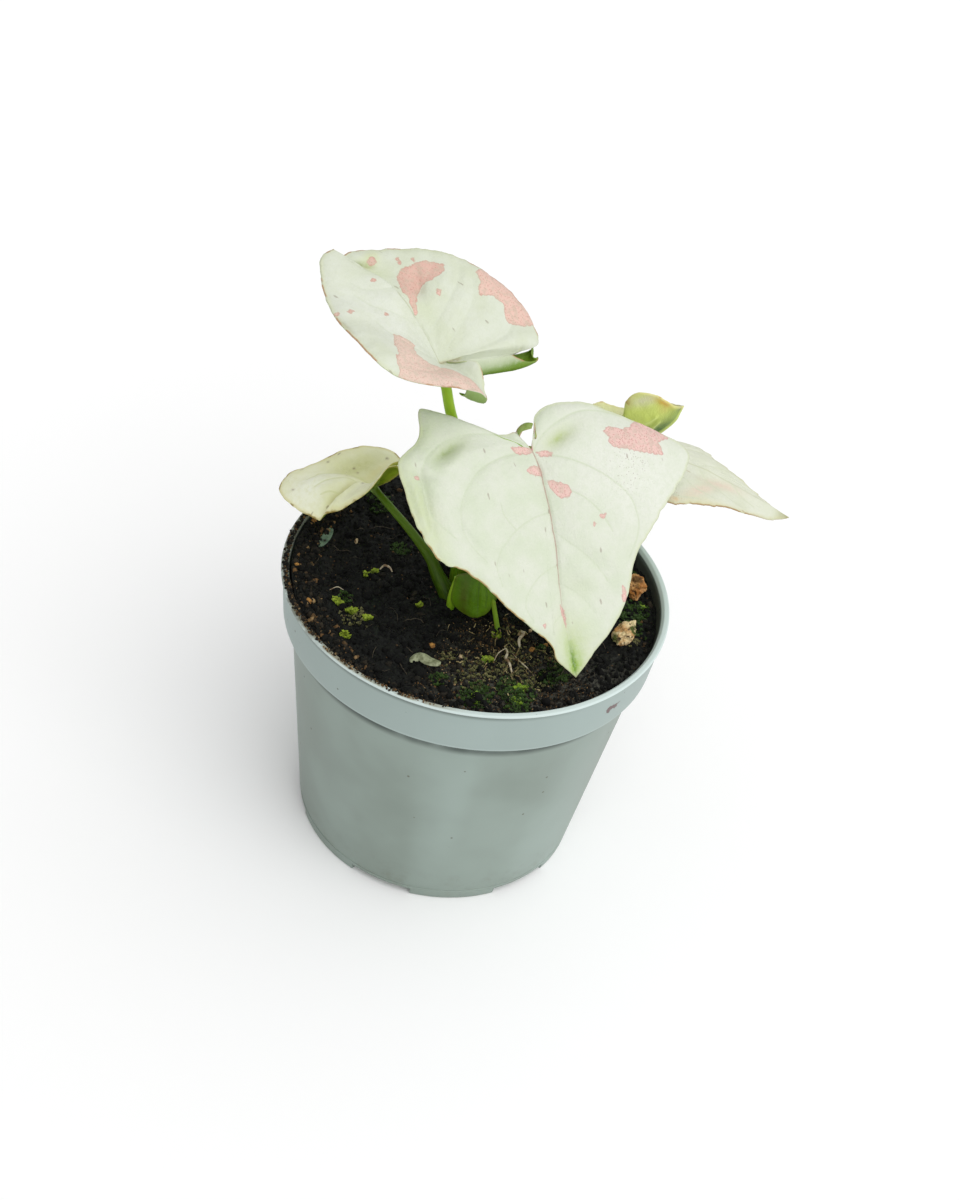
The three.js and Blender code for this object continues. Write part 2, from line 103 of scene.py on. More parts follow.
class Finish:
    """A material on a Principled shader, with one method for each kind of thing that feeds it."""

    def __init__(self, name, **constants):
        self.material = bpy.data.materials.new(name)
        self.material.use_nodes = True
        self.tree = self.material.node_tree
        self.shader = self.tree.nodes["Principled BSDF"]
        for socket, value in constants.items():
            self.shader.inputs[socket.replace("_", " ")].default_value = value

    def node(self, kind, settings, sockets, output=0):
        """A node of that kind. Its settings are set first, then its sockets get values or links."""
        made = self.tree.nodes.new(kind)
        for name, value in settings.items():
            if name == "stops":
                ramp = made.color_ramp
                while len(ramp.elements) < len(value):
                    ramp.elements.new(1.0)
                for element, (place, colour) in zip(ramp.elements, value):
                    element.position = place
                    element.color = colour
            else:
                setattr(made, name, value)
        for name, value in sockets.items():
            if isinstance(value, Value):
                self.tree.links.new(value.socket, made.inputs[name])
            else:
                made.inputs[name].default_value = value
        return Value(self, made.outputs[output])

    def maths(self, operation, *terms):
        return self.node("ShaderNodeMath", {"operation": operation}, dict(enumerate(terms)))

    def vectors(self, operation, *terms, output="Vector"):
        """A node that works on whole vectors. A length or a distance comes from its output Value."""
        return self.node("ShaderNodeVectorMath", {"operation": operation}, dict(enumerate(terms)), output)

    def mix(self, factor, first, second):
        """The first colour where the factor is 0 and the second where it is 1."""
        sockets = {0: factor, 6: rgba(first), 7: rgba(second)}
        return self.node("ShaderNodeMix", {"data_type": "RGBA"}, sockets, 2)

    def step(self, value, low, high):
        """0 below low, 1 above high and smooth between; it falls instead where low is the larger."""
        rising = low < high
        sockets = {0: value, 1: min(low, high), 2: max(low, high), 3: 1 - rising, 4: rising}
        settings = {"interpolation_type": "SMOOTHSTEP"}
        return self.node("ShaderNodeMapRange", settings, sockets)

    def place(self):
        """The point on the object, in metres."""
        return self.node("ShaderNodeTexCoord", {}, {}, "Object")

    def part_of(self, vector, axis):
        """The vector's X, Y or Z part."""
        return self.node("ShaderNodeSeparateXYZ", {}, {0: vector}, axis)

    def attribute(self, name, output="Fac"):
        """The value that each of the mesh's points carries under that name."""
        return self.node("ShaderNodeAttribute", {"attribute_name": name}, {}, output)

    def noise(self, vector, scale, detail=2.0, roughness=0.5, stretch=None):
        """Smooth random values round 0.5, with that many bumps in a unit of the vector."""
        if stretch:
            vector = self.node("ShaderNodeMapping", {}, {"Vector": vector, "Scale": stretch})
        sockets = {"Vector": vector, "Scale": scale, "Detail": detail, "Roughness": roughness}
        return self.node("ShaderNodeTexNoise", {}, sockets)

    def cells(self, vector, scale, output="Distance"):
        """The distance to the middle of the nearest random cell, or that cell's own random colour."""
        return self.node("ShaderNodeTexVoronoi", {}, {"Vector": vector, "Scale": scale}, output)

    def finish(self, colour=None, roughness=None, bumps=()):
        """Feeds the shader. Each bump is a height, its depth in metres and its strength."""
        normal = None
        for height, depth, strength in bumps:
            sockets = {"Height": height, "Distance": depth, "Strength": strength}
            if normal:
                sockets["Normal"] = normal
            normal = self.node("ShaderNodeBump", {}, sockets)
        for name, value in (("Base Color", colour), ("Roughness", roughness), ("Normal", normal)):
            if value is not None:
                self.tree.links.new(value.socket, self.shader.inputs[name])
        return self.material


def rgba(colour):
    """A colour of three sRGB shares from 0 to 255, as the four linear shares that nodes take.

    A share s is s / 12.92 up to 0.04045, and ((s + 0.055) / 1.055) ** 2.4 above it.
    """
    if isinstance(colour, Value):
        return colour
    shares = np.array(colour, float) / 255
    linear = np.where(shares <= 0.04045, shares / 12.92, ((shares + 0.055) / 1.055) ** 2.4)
    return (*linear.tolist(), 1.0)


def add_piece(name, points, faces, material, slot, replaced=(), values=None):
    """A mesh piece from points in millimetres and faces of point numbers, with a value for each point."""
    mesh = bpy.data.meshes.new(name)
    mesh.from_pydata((np.asarray(points, float) * MM).tolist(), [], faces)
    mesh.validate()
    mesh.polygons.foreach_set("use_smooth", [True] * len(mesh.polygons))
    for label, array in (values or {}).items():
        array = np.asarray(array, np.float32)
        kind, key = ("FLOAT", "value") if array.ndim == 1 else ("FLOAT_VECTOR", "vector")
        mesh.attributes.new(label, kind, "POINT").data.foreach_set(key, array.ravel())
    mesh.materials.append(material)
    piece = bpy.data.objects.new(name, mesh)
    bpy.context.scene.collection.objects.link(piece)
    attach(piece, "root")
    if replaced:
        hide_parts(*replaced)
    return piece


def tidy_mesh(piece, distance):
    """Merges points that lie together, drops faces with no area and turns every face outwards."""
    worked = bmesh.new()
    worked.from_mesh(piece.data)
    bmesh.ops.remove_doubles(worked, verts=worked.verts, dist=distance * MM)
    bmesh.ops.dissolve_degenerate(worked, edges=worked.edges, dist=distance * MM)
    bmesh.ops.recalc_face_normals(worked, faces=worked.faces)
    worked.to_mesh(piece.data)
    worked.free()


def grid_quads(numbers):
    """The quads of a grid of point numbers, each going from one point to the next along the row first."""
    a, b = numbers[:-1, :-1].ravel(), numbers[:-1, 1:].ravel()
    c, d = numbers[1:, 1:].ravel(), numbers[1:, :-1].ravel()
    return np.stack([a, b, c, d], 1)


def numbered(points):
    """The number of each point of a grid, row by row."""
    return np.arange(points[..., 0].size).reshape(points.shape[:2])


def ring_quads(numbers):
    """The quads, as a list, of a grid whose rows are closed rings: its last column meets its first."""
    return grid_quads(np.hstack([numbers, numbers[:, :1]])).tolist()


def rounded(corners):
    """A line through corners of (x, y, radius), each corner replaced by an arc of that radius.

    The arc starts radius / tan(half the corner's angle) before the corner and turns evenly.
    """
    line = []
    for index, (x, y, radius) in enumerate(corners):
        here = np.array([x, y])
        if radius == 0 or index in (0, len(corners) - 1):
            line.append(here)
            continue
        before = np.array(corners[index - 1][:2]) - here
        after = np.array(corners[index + 1][:2]) - here
        before, after = before / np.linalg.norm(before), after / np.linalg.norm(after)
        half = math.acos(np.clip(before @ after, -1, 1)) / 2
        middle = (before + after) / np.linalg.norm(before + after)
        centre = here + middle * radius / math.sin(half)
        start = here + before * radius / math.tan(half) - centre
        end = here + after * radius / math.tan(half) - centre
        sweep = math.pi - 2 * half
        shares = np.linspace(0, 1, ARC_STEPS + 1)
        arms = np.outer(np.sin((1 - shares) * sweep), start) + np.outer(np.sin(shares * sweep), end)
        arms /= math.sin(sweep)
        line.extend(centre + arms)
    return np.array(line)


def pot_profile():
    """Radius and height from the middle of the underside, up the outside, over the rim and down inside."""
    rim, top = RIM_RADIUS, POT_HEIGHT
    wall_slope = (BODY_TOP_RADIUS - BASE_RADIUS) / COLLAR_FOOT

    def wall_at(height):
        return BASE_RADIUS + wall_slope * height

    inner_top = BODY_TOP_RADIUS - POT_WALL
    inner_base = BASE_RADIUS - POT_WALL - 0.3
    corners = [
        (0, 0, 0), (NOTCH_INNER_RADIUS - 0.02, 0, 0), (NOTCH_INNER_RADIUS, 0, 0),
        (BASE_RADIUS - 0.6, 0, 0), (BASE_RADIUS, 0, 0.45), (wall_at(NOTCH_HEIGHT), NOTCH_HEIGHT, 0),
        (wall_at(FOOT_LINE), FOOT_LINE, 0.1),
        (wall_at(FOOT_LINE) - FOOT_LINE_DEPTH, FOOT_LINE + 0.12, 0.1),
        (wall_at(FOOT_LINE + 0.5), FOOT_LINE + 0.5, 0.3),
        (wall_at(12), 12, 0), (wall_at(24), 24, 0), (wall_at(36), 36, 0), (wall_at(44), 44, 0),
        (BODY_TOP_RADIUS, COLLAR_FOOT - 0.1, 0.35),
        (COLLAR_FOOT_RADIUS, COLLAR_FOOT - 0.05, 0.3),
        (34.2, 50.0, 0), (rim - BEAD_DEPTH, top - BEAD_HEIGHT, 0.2),
        (rim, top - BEAD_HEIGHT + 0.15, 0.15),
        (rim, top, RIM_ROUND), (rim - RIM_LIP, top, RIM_ROUND),
        (rim - RIM_LIP - 0.5, top - BEAD_HEIGHT, 0.3),
        (COLLAR_FOOT_RADIUS - COLLAR_WALL, COLLAR_FOOT + 1.6, 0.4),
        (inner_top, COLLAR_FOOT - 0.4, 0.4),
        (inner_base, LEDGE_TOP, 0.7),
        (LEDGE_INNER_RADIUS + 0.5, LEDGE_TOP, 0.3), (LEDGE_INNER_RADIUS - 0.5, POT_FLOOR, 0.3),
        (0, POT_FLOOR, 0),
    ]
    return rounded(corners)


def turned_pot():
    """The profile turned about +Z, with its base lifted to the notch height within each notch's angle."""
    profile = pot_profile()
    notch_angles = FIRST_NOTCH + np.arange(NOTCH_COUNT) * 2 * math.pi / NOTCH_COUNT
    sides = (notch_angles[:, None] + np.array([-1, 1]) * NOTCH_HALF_ANGLE).ravel()
    even = np.linspace(0, 2 * math.pi, POT_SIDES, endpoint=False)
    angles = np.concatenate([even, sides - NOTCH_SIDE_ANGLE, sides + NOTCH_SIDE_ANGLE])
    angles = np.sort(angles % (2 * math.pi))
    away = np.abs((angles[:, None] - notch_angles + math.pi) % (2 * math.pi) - math.pi).min(1)
    in_notch = away < NOTCH_HALF_ANGLE
    radius = np.repeat(profile[:, :1], len(angles), 1)
    height = np.repeat(profile[:, 1:], len(angles), 1)
    outer = np.arange(len(profile)) < len(profile) // 2
    lifted = (radius >= NOTCH_INNER_RADIUS - 0.001) & outer[:, None] & in_notch[None]
    height = np.where(lifted, np.maximum(height, NOTCH_HEIGHT), height)
    points = np.stack([radius * np.cos(angles), radius * np.sin(angles), height], -1)
    return points.reshape(-1, 3), ring_quads(numbered(points))


def pot_finish():
    """Satin grey-green plastic: faint flow clouds and ripples, dirt specks, and soil stains by the rim.
    Painted light: a lighter collar, painted highlights on the lip and the collar's foot edge, and painted
    shadows under the bead and the collar.

    Heights, radii and places are in metres from the middle of the base.
    """
    f = Finish("pot_plastic", Specular_IOR_Level=0.42)
    place = f.place()
    height = f.part_of(place, "Z")
    clouds = f.noise(place, 45, 3, 0.5)
    streaks = f.noise(place, 60, 2, 0.5, stretch=(1, 1, 0.08))
    body = f.mix(f.step(clouds, 0.35, 0.68), (126, 139, 130), (140, 154, 146))
    body = f.mix(f.step(streaks, 0.42, 0.7) * 0.35, body, (158, 174, 168))
    # Painted light: the whole collar is painted lighter, as where light from above falls on it.
    lit_collar = f.step(height, 0.044, 0.0472)
    body = f.mix(lit_collar * 0.7, body, (158, 174, 171))
    # Painted highlight: a thin light line along the collar's rounded foot edge.
    collar_edge_highlight = f.step(height, 0.0467, 0.0469) * f.step(height, 0.0474, 0.0471)
    body = f.mix(collar_edge_highlight * 0.25, body, (186, 201, 197))
    # Painted shadow: a dark line under the lip bead, strongest at the left and fading out towards the right.
    bead_shadow = f.step(height, 0.0542, 0.0551) * f.step(f.part_of(place, "X"), 0.026, 0.002)
    body = f.mix(bead_shadow * 0.75, body, (92, 104, 98))
    # Painted highlight: the top of the rim and its bead, from 55.3 mm up, painted light.
    lip_highlight = f.step(height, 0.0553, 0.0556)
    body = f.mix(lip_highlight * 0.85, body, (206, 220, 217))
    grime = f.noise(place, 320, 4, 0.7)
    low_dirt = f.step(height, 0.012, 0.0) * f.step(grime, 0.45, 0.75)
    body = f.mix(low_dirt * 0.35, body, (104, 106, 92))
    chance = f.part_of(f.cells(place, 420, "Color"), "X")
    specks = f.step(f.cells(place, 420) + (grime - 0.5) * 0.1, 0.12, 0.06) * f.step(chance, 0.82, 0.84)
    body = f.mix(specks * 0.7, body, (84, 76, 62))
    body = f.mix(f.step(grime, 0.66, 0.8) * 0.22, body, (112, 116, 104))
    radius = f.vectors("LENGTH", f.vectors("MULTIPLY", place, (1, 1, 0)), output="Value")
    inside = f.step(radius, 0.0337, 0.0334) * f.step(height, 0.0495, 0.052)
    stain = inside * f.step(height + (grime - 0.5) * 0.0016, 0.0561, 0.0554)
    body = f.mix(stain * 0.9, body, (44, 45, 33))
    # Painted shadow: a patchy dark band on the body just under the collar's foot.
    groove = f.step(height, 0.0432, 0.0449) * f.step(radius, 0.0334, 0.033) * f.step(height, 0.0467, 0.0465)
    body = f.mix(groove * f.step(f.noise(place, 60, 3, 0.6), 0.2, 0.5) * 0.9, body, (58, 70, 64))
    lip_stain = f.step(radius, 0.03495, 0.0346) * f.step(height, 0.0553, 0.0557)
    lip_stain = lip_stain * f.step(f.noise(place, 190, 4, 0.65), 0.4, 0.54)
    lip_stain = lip_stain * f.step(f.part_of(place, "X"), 0.004, -0.006)
    body = f.mix(lip_stain * 0.75, body, (120, 104, 62))
    muddy = f.step(f.part_of(place, "X"), -0.02, -0.029) * f.step(height, 0.0551, 0.0556)
    muddy = muddy * f.step(f.noise(place, 330, 4, 0.7), 0.32, 0.6)
    body = f.mix(muddy * 0.8, body, (96, 96, 78))
    from_scuff = f.vectors("SUBTRACT", place, (27.1 * MM, -21.2 * MM, 51.2 * MM))
    gap = f.vectors("LENGTH", f.vectors("MULTIPLY", from_scuff, (0.8, 0.8, 1.7)), output="Value")
    smears = f.noise(place, 700, 4, 0.7)
    scuff = f.step(gap + (smears - 0.5) * 0.005, 0.0013, 0.0007)
    body = f.mix(scuff * 0.9, body, (96, 66, 66))
    roughness = f.step(clouds, 0.3, 0.7) * 0.1 + 0.42 + specks * 0.2 + stain * 0.3
    return f.finish(body, roughness, [(streaks, 0.00025, 0.35), (grime, 0.00004, 0.5)])


pot = add_piece("nursery_pot", *turned_pot(), pot_finish(), "pot_plastic", ["pot"])
tidy_mesh(pot, 0.002)
drills = bmesh.new()
for drill in range(NOTCH_COUNT):
    turn = FIRST_NOTCH + drill * 2 * math.pi / NOTCH_COUNT
    centre = Vector((math.cos(turn), math.sin(turn), 0)) * DRAIN_CIRCLE_RADIUS * MM
    centre.z = (NOTCH_HEIGHT + LEDGE_TOP) / 2 * MM
    bmesh.ops.create_cone(
        drills, cap_ends=True, segments=DRILL_SIDES, depth=DRILL_DEPTH * MM,
        radius1=DRAIN_HOLE_RADIUS * MM, radius2=DRAIN_HOLE_RADIUS * MM, matrix=Matrix.Translation(centre),
    )
drill_mesh = bpy.data.meshes.new("drills")
drills.to_mesh(drill_mesh)
drills.free()
drill_piece = bpy.data.objects.new("drills", drill_mesh)
bpy.context.scene.collection.objects.link(drill_piece)
boring = pot.modifiers.new("drain_holes", "BOOLEAN")
boring.operation = "DIFFERENCE"
boring.solver = "EXACT"
boring.object = drill_piece
bpy.context.view_layer.update()
bored = bpy.data.meshes.new_from_object(pot.evaluated_get(bpy.context.evaluated_depsgraph_get()))
pot.modifiers.clear()
pot.data = bored
bpy.data.objects.remove(drill_piece)
pot.data.set_sharp_from_angle(angle=SHARP_ANGLE)

# ---------- potting soil ----------
# Dark peat mix, pressed in to 3 mm below the rim. Its top is a crust of fine lumps that rises in a bank
# at the left, and under it the soil takes the inside shape of the pot.

SOIL_LEVEL = 53.0
SOIL_EDGE = 33.2
SOIL_BANK = 2.4
SOIL_SIDES = 500
SOIL_RINGS = 175
SOIL_WALL = [(0.0, 1.3), (18.9, 1.3), (20.3, 2.9), (25.3, 2.9), (31.1, 46.0), (32.3, 48.6), (32.6, 51.5)]
LATTICE_SIZE = 48
LATTICE_SEED = 7
LATTICE = np.random.default_rng(LATTICE_SEED).random((LATTICE_SIZE,) * 3) * 2 - 1
OCTAVE_SHIFT = 11.3


def noise(points, size, octaves=1):
    """Smooth random values from -1 to 1 with bumps of that size.

    The eight lattice values round a point are blended by 3t^2 - 2t^3 along each axis. Each further
    octave has half the size and half the height.
    """
    total = np.zeros(len(points))
    for octave in range(octaves):
        spot = points * 2**octave / size + OCTAVE_SHIFT * octave
        cell = np.floor(spot).astype(int)
        share = spot - cell
        share = share * share * (3 - 2 * share)
        value = np.zeros(len(points))
        for corner in np.ndindex(2, 2, 2):
            weight = np.prod(np.where(corner, share, 1 - share), axis=1)
            x, y, z = ((cell + corner) % LATTICE_SIZE).T
            value += weight * LATTICE[x, y, z]
        total += value / 2**octave
    return total


def flat_places(x, y):
    """The points (x, y, 0), for noise on a plane."""
    return np.stack([x, y, np.zeros_like(x)], -1).reshape(-1, 3)


def soil_height(x, y):
    """Long waves, a bank at the left by the rim, and lumps that stand as 0.5 - |noise| above the level."""
    wave = np.sin(0.31 * x + 0.9) * np.cos(0.27 * y - 0.4) + 0.6 * np.sin(0.52 * y + 0.18 * x)
    bank = np.clip((np.hypot(x, y) - 26) / 6, 0, 1) * np.clip(-0.4 - x / 33, 0, 0.4) / 0.4
    places = flat_places(x, y)
    lumps = 0.6 * noise(places, 4.6, 2) + 0.7 * (0.5 - np.abs(noise(places + 5, 2.1, 2)))
    grains = 0.5 * (0.5 - np.abs(noise(places + 31, 0.9, 2)))
    grains = grains + 0.2 * noise(places + 57, 0.4)
    return SOIL_LEVEL + 0.35 * wave + SOIL_BANK * bank + (lumps + grains).reshape(np.shape(x))


def soil_surface():
    """Rings of points from the middle of the floor, up the pot's wall, and in over the lumpy top."""
    around = np.linspace(0, 2 * math.pi, SOIL_SIDES, endpoint=False)
    wall_radius, wall_height = np.array(SOIL_WALL).T
    reach = SOIL_EDGE * (1 - np.linspace(0, 1, SOIL_RINGS) ** 1.06)
    radius = np.concatenate([wall_radius, reach])[:, None]
    x, y = radius * np.cos(around), radius * np.sin(around)
    height = np.repeat(np.concatenate([wall_height, reach * 0])[:, None], SOIL_SIDES, 1)
    top = slice(len(SOIL_WALL), None)
    height[top] = soil_height(x[top], y[top])
    points = np.stack([x, y, height], -1)
    return points.reshape(-1, 3), ring_quads(numbered(points))


def soil_finish():
    """Peat: nearly black when moist, browner on the dry tops, with a green film of moss in places."""
    f = Finish("moist_peat", Specular_IOR_Level=0.28)
    place = f.place()
    clouds = f.noise(place, 160, 4, 0.6)
    grain = f.noise(place, 1500, 4, 0.65)
    colour = f.mix(f.step(grain, 0.42, 0.68), (6, 8, 7), (27, 29, 25))
    colour = f.mix(f.step(clouds, 0.58, 0.74) * 0.4, colour, (46, 42, 34))
    dry = f.step(f.part_of(place, "Y"), -0.008, -0.018) * f.step(f.part_of(place, "X"), -0.008, 0.003)
    dry = dry * f.step(grain, 0.4, 0.6)
    colour = f.mix(dry * 0.8, colour, (78, 77, 68))
    film = f.step(f.noise(place, 110, 3, 0.6), 0.6, 0.7) * f.step(grain, 0.42, 0.6)
    colour = f.mix(film * 0.5, colour, (34, 52, 28))
    chance = f.part_of(f.cells(place, 900, "Color"), "Y")
    specks = f.step(f.cells(place, 900), 0.2, 0.1) * f.step(chance, 0.9, 0.92)
    colour = f.mix(specks * 0.6, colour, (128, 108, 82))
    roughness = 0.95 - f.step(clouds, 0.3, 0.5) * 0.15
    return f.finish(colour, roughness, [(grain, 0.0003, 0.8)])


peat = soil_finish()
soil = add_piece("potting_soil_bed", *soil_surface(), peat, "soil", ["potting_soil"])
tidy_mesh(soil, 0.001)

# ---------- crumbs, chips and litter on the soil ----------
# Loose peat crumbs and bark grit lie all over the bed, thickest by the rim. Two pale bark chips, a
# narrow dry flake and a curled scrap of old leaf lie among them.

LUMP_SIZE = 0.9
CRUMB_ROUGHNESS = 0.65
CRUMB_RARITY = 2.8
RIM_CRUMB_ROUGHNESS = 0.45
RIM_HEAP_WIDTH = 6.0
CHIP_TILT = (0.15, -0.2)
CHIP_SCALE = 1.6
CURVE_STEPS = 24
RIBBON_STEPS = 40
RIBBON_SIDES = 20


def ball(subdivisions):
    """Points and triangles of an icosphere with a radius of 1."""
    worked = bmesh.new()
    bmesh.ops.create_icosphere(worked, subdivisions=subdivisions, radius=1)
    points = np.array([v.co for v in worked.verts])
    faces = np.array([[v.index for v in face.verts] for face in worked.faces])
    worked.free()
    return points, faces


def turns(count, random):
    """Evenly spread random rotations, from four normal numbers each taken as a quaternion."""
    spins = random.normal(size=(4, count))
    w, x, y, z = spins / np.linalg.norm(spins, axis=0)
    rows = [
        [1 - 2 * (y * y + z * z), 2 * (x * y - z * w), 2 * (x * z + y * w)],
        [2 * (x * y + z * w), 1 - 2 * (x * x + z * z), 2 * (y * z - x * w)],
        [2 * (x * z - y * w), 2 * (y * z + x * w), 1 - 2 * (x * x + y * y)],
    ]
    return np.array(rows).transpose(2, 0, 1)


def lumps(places, halves, detail, roughness, random):
    """A rough lump at each place: a ball swollen by noise, stretched to its half sizes and turned."""
    points, faces = ball(detail)
    count = len(places)
    shifts = random.random((count, 1, 3)) * 40
    swell = noise((points + shifts).reshape(-1, 3), LUMP_SIZE, 2).reshape(count, -1, 1)
    shaped = points * (1 + roughness * swell) * halves[:, None]
    turned = np.einsum("nij,nkj->nki", turns(count, random), shaped) + places[:, None]
    numbers = faces[None] + (np.arange(count) * len(points))[:, None, None]
    return turned.reshape(-1, 3), numbers.reshape(-1, 3).tolist(), len(points)


def scattered(count, random, inner, outer, arc=(0, 2 * math.pi)):
    """Random spots on the bed between two radii and two angles, evenly spread over its area."""
    radius = np.sqrt(random.uniform(inner**2, outer**2, count))
    angle = random.uniform(*arc, count)
    return radius * np.cos(angle), radius * np.sin(angle)


def crumb_finish():
    """Peat crumbs from black to brown, and a few of rust-red or tan bark, by each crumb's own tone."""
    f = Finish("peat_crumbs", Specular_IOR_Level=0.25)
    place = f.place()
    tone = f.attribute("tone")
    grain = f.noise(place, 1800, 3, 0.6)
    stops = [
        (0.0, rgba((8, 9, 8))), (0.5, rgba((22, 23, 20))), (0.78, rgba((52, 46, 36))),
        (0.93, rgba((118, 88, 54))), (1.0, rgba((182, 158, 116))),
    ]
    colour = f.node("ShaderNodeValToRGB", {"stops": stops}, {"Fac": tone})
    colour = f.mix(f.step(grain, 0.45, 0.7) * 0.5, colour, (18, 14, 12))
    return f.finish(colour, 0.9 + grain * 0.05, [(grain, 0.0002, 0.8)])


crumb_material = crumb_finish()


def crumb_piece(name, places, halves, detail, roughness, tones, rarity, random):
    """Lumps as one piece. Their tones lie between the two given, nearer the first where rarity is larger."""
    points, faces, each = lumps(places, halves, detail, roughness, random)
    tone = tones[0] + (tones[1] - tones[0]) * random.random(len(places)) ** rarity
    return add_piece(name, points, faces, crumb_material, "soil", values={"tone": np.repeat(tone, each)})


def add_crumbs(name, count, sizes, detail, inner, outer, tones, seed, arc=(0, 360)):
    """Crumbs between two radii, over an arc given in degrees from +X."""
    random = np.random.default_rng(seed)
    x, y = scattered(count, random, inner, outer, np.radians(arc))
    halves = random.uniform(*sizes, (count, 1)) * random.uniform(0.6, 1.15, (count, 3))
    places = np.stack([x, y, soil_height(x, y) + halves.min(1) * 0.25], -1)
    return crumb_piece(name, places, halves, detail, CRUMB_ROUGHNESS, tones, CRUMB_RARITY, random)


def add_rim_crumbs(name, count, angles, radii, sizes, tones, seed):
    """Crumbs on the pot's lip: heaps round the given angles in degrees, most at the middle radius."""
    random = np.random.default_rng(seed)
    angle = np.radians(random.choice(angles, count) + random.normal(0, RIM_HEAP_WIDTH, count))
    radius = random.triangular(*radii, count)
    halves = random.uniform(*sizes, (count, 1)) * random.uniform(0.6, 1.2, (count, 3))
    height = POT_HEIGHT + halves.min(1) * 0.6
    places = np.stack([radius * np.cos(angle), radius * np.sin(angle), height], -1)
    return crumb_piece(name, places, halves, 1, RIM_CRUMB_ROUGHNESS, tones, 1, random)


add_crumbs("fine_crumbs", 8500, (0.1, 0.27), 1, 0, 32.8, (0.0, 0.9), 11)
add_crumbs("peat_crumbs", 900, (0.25, 0.75), 2, 3, 32.0, (0.0, 0.72), 12)
add_crumbs("rim_bark_crumbs", 300, (0.25, 0.65), 2, 29.5, 32.4, (0.1, 0.95), 13)
add_crumbs("left_bank_crumbs", 1100, (0.12, 0.5), 2, 28.5, 32.9, (0.45, 0.98), 15, arc=(150, 242))
add_crumbs("front_grit", 3800, (0.06, 0.19), 1, 8, 32.6, (0.72, 1.0), 16, arc=(256, 318))
add_crumbs("pale_crust", 800, (0.08, 0.3), 1, 8.5, 19, (0.66, 0.98), 17, arc=(270, 316))
add_rim_crumbs(
    "crumbs_on_the_rim", 420, [196, 206, 216, 228, 238, 248, 256], (33.7, 34.1, 34.8), (0.07, 0.24),
    (0.66, 0.98), 14,
)
add_rim_crumbs(
    "soil_over_the_rim", 560, [158, 166, 174, 182, 190, 200, 207, 211], (33.7, 33.9, 34.8), (0.09, 0.34),
    (0.1, 0.94), 18,
)


def grit_at(name, spots, halves, colour, dark, seed):
    """Single pale or coloured bits at given spots, mottled between two colours."""
    f = Finish(name, Specular_IOR_Level=0.3)
    place = f.place()
    mottle = f.noise(place, 1300, 4, 0.65)
    broad = f.noise(place, 520, 2, 0.5)
    tint = f.mix(f.step(mottle, 0.42, 0.66), colour, dark)
    tint = f.mix(f.step(broad, 0.5, 0.62) * 0.5, tint, dark)
    material = f.finish(tint, 0.8 + mottle * 0.1, [(mottle, 0.0003, 0.9)])
    random = np.random.default_rng(seed)
    spots = np.array(spots, float)
    x, y = spots.T
    sizes = np.array(halves, float) * random.uniform(0.75, 1.25, (len(spots), 3))
    places = np.stack([x, y, soil_height(x, y) + sizes[:, 2] * 0.4], -1)
    points, faces, _ = lumps(places, sizes, 3, 0.42, random)
    return add_piece(name, points, faces, material, "bark")


grit_at(
    "orange_bark_grit",
    [(-27.7, -14.3), (-31.6, -5.8), (-30.7, 9.5), (-31.4, 7.9), (-5.4, -16.8), (11.7, -13.9), (13.8, -12.2)],
    (0.55, 0.48, 0.42), (184, 134, 70), (92, 62, 36), 21,
)
grit_at(
    "tan_bark_grit",
    [(10.9, -8.6), (9.3, -9.9), (-23.1, 6.5), (-6.0, 1.3), (-0.2, -19.5), (12.6, -10.4), (29.5, 12.8)],
    (0.6, 0.5, 0.4), (206, 184, 146), (120, 88, 60), 22,
)


def bark_chip(name, node, centre, half, turn, pale, warm, moss, seed):
    """A corky chip: a ball swollen by broad and fine noise, with pits, in three mottled colours."""
    points, faces = ball(6)
    spots = points * CHIP_SCALE + seed * 3.7
    broad = noise(spots, 1.0, 2)
    fine = noise(spots + 9, 0.28, 3)
    pits = np.clip(noise(spots + 17, 0.4) - 0.35, 0, 1)
    swell = 1 + 0.26 * broad + 0.09 * fine - 0.35 * pits
    shaped = points * swell[:, None] * np.array(half)
    turned = shaped @ np.array(Euler((*CHIP_TILT, turn)).to_matrix()).T + np.array(centre)
    f = Finish(name + "_cork", Specular_IOR_Level=0.3)
    place = f.place()
    mottle = f.noise(place, 420, 4, 0.65)
    patches = f.noise(place, 230, 2, 0.5)
    colour = f.mix(f.step(mottle, 0.42, 0.62), pale, warm)
    colour = f.mix(f.step(patches, 0.55, 0.63), colour, moss)
    colour = f.mix(f.step(f.noise(place, 1500, 3, 0.6), 0.56, 0.72) * 0.6, colour, (84, 52, 34))
    colour = f.mix(f.attribute("pit"), colour, (48, 34, 24))
    material = f.finish(colour, 0.8 + mottle * 0.1, [(mottle, 0.0004, 0.7)])
    pit = np.clip(pits * 2.4, 0, 0.9)
    return add_piece(name, turned, faces.tolist(), material, "bark", [node], {"pit": pit})


bark_chip(
    "rear_chip", "bark_chip_rear", (28.3, 8.2, 55.0), (1.9, 2.5, 1.9), 0.5,
    (206, 158, 104), (160, 104, 50), (110, 78, 44), 1,
)
bark_chip(
    "front_chip", "bark_chip_front", (27.4, -5.6, 54.9), (1.7, 2.6, 1.6), -0.4,
    (222, 202, 156), (186, 138, 84), (74, 84, 32), 2,
)


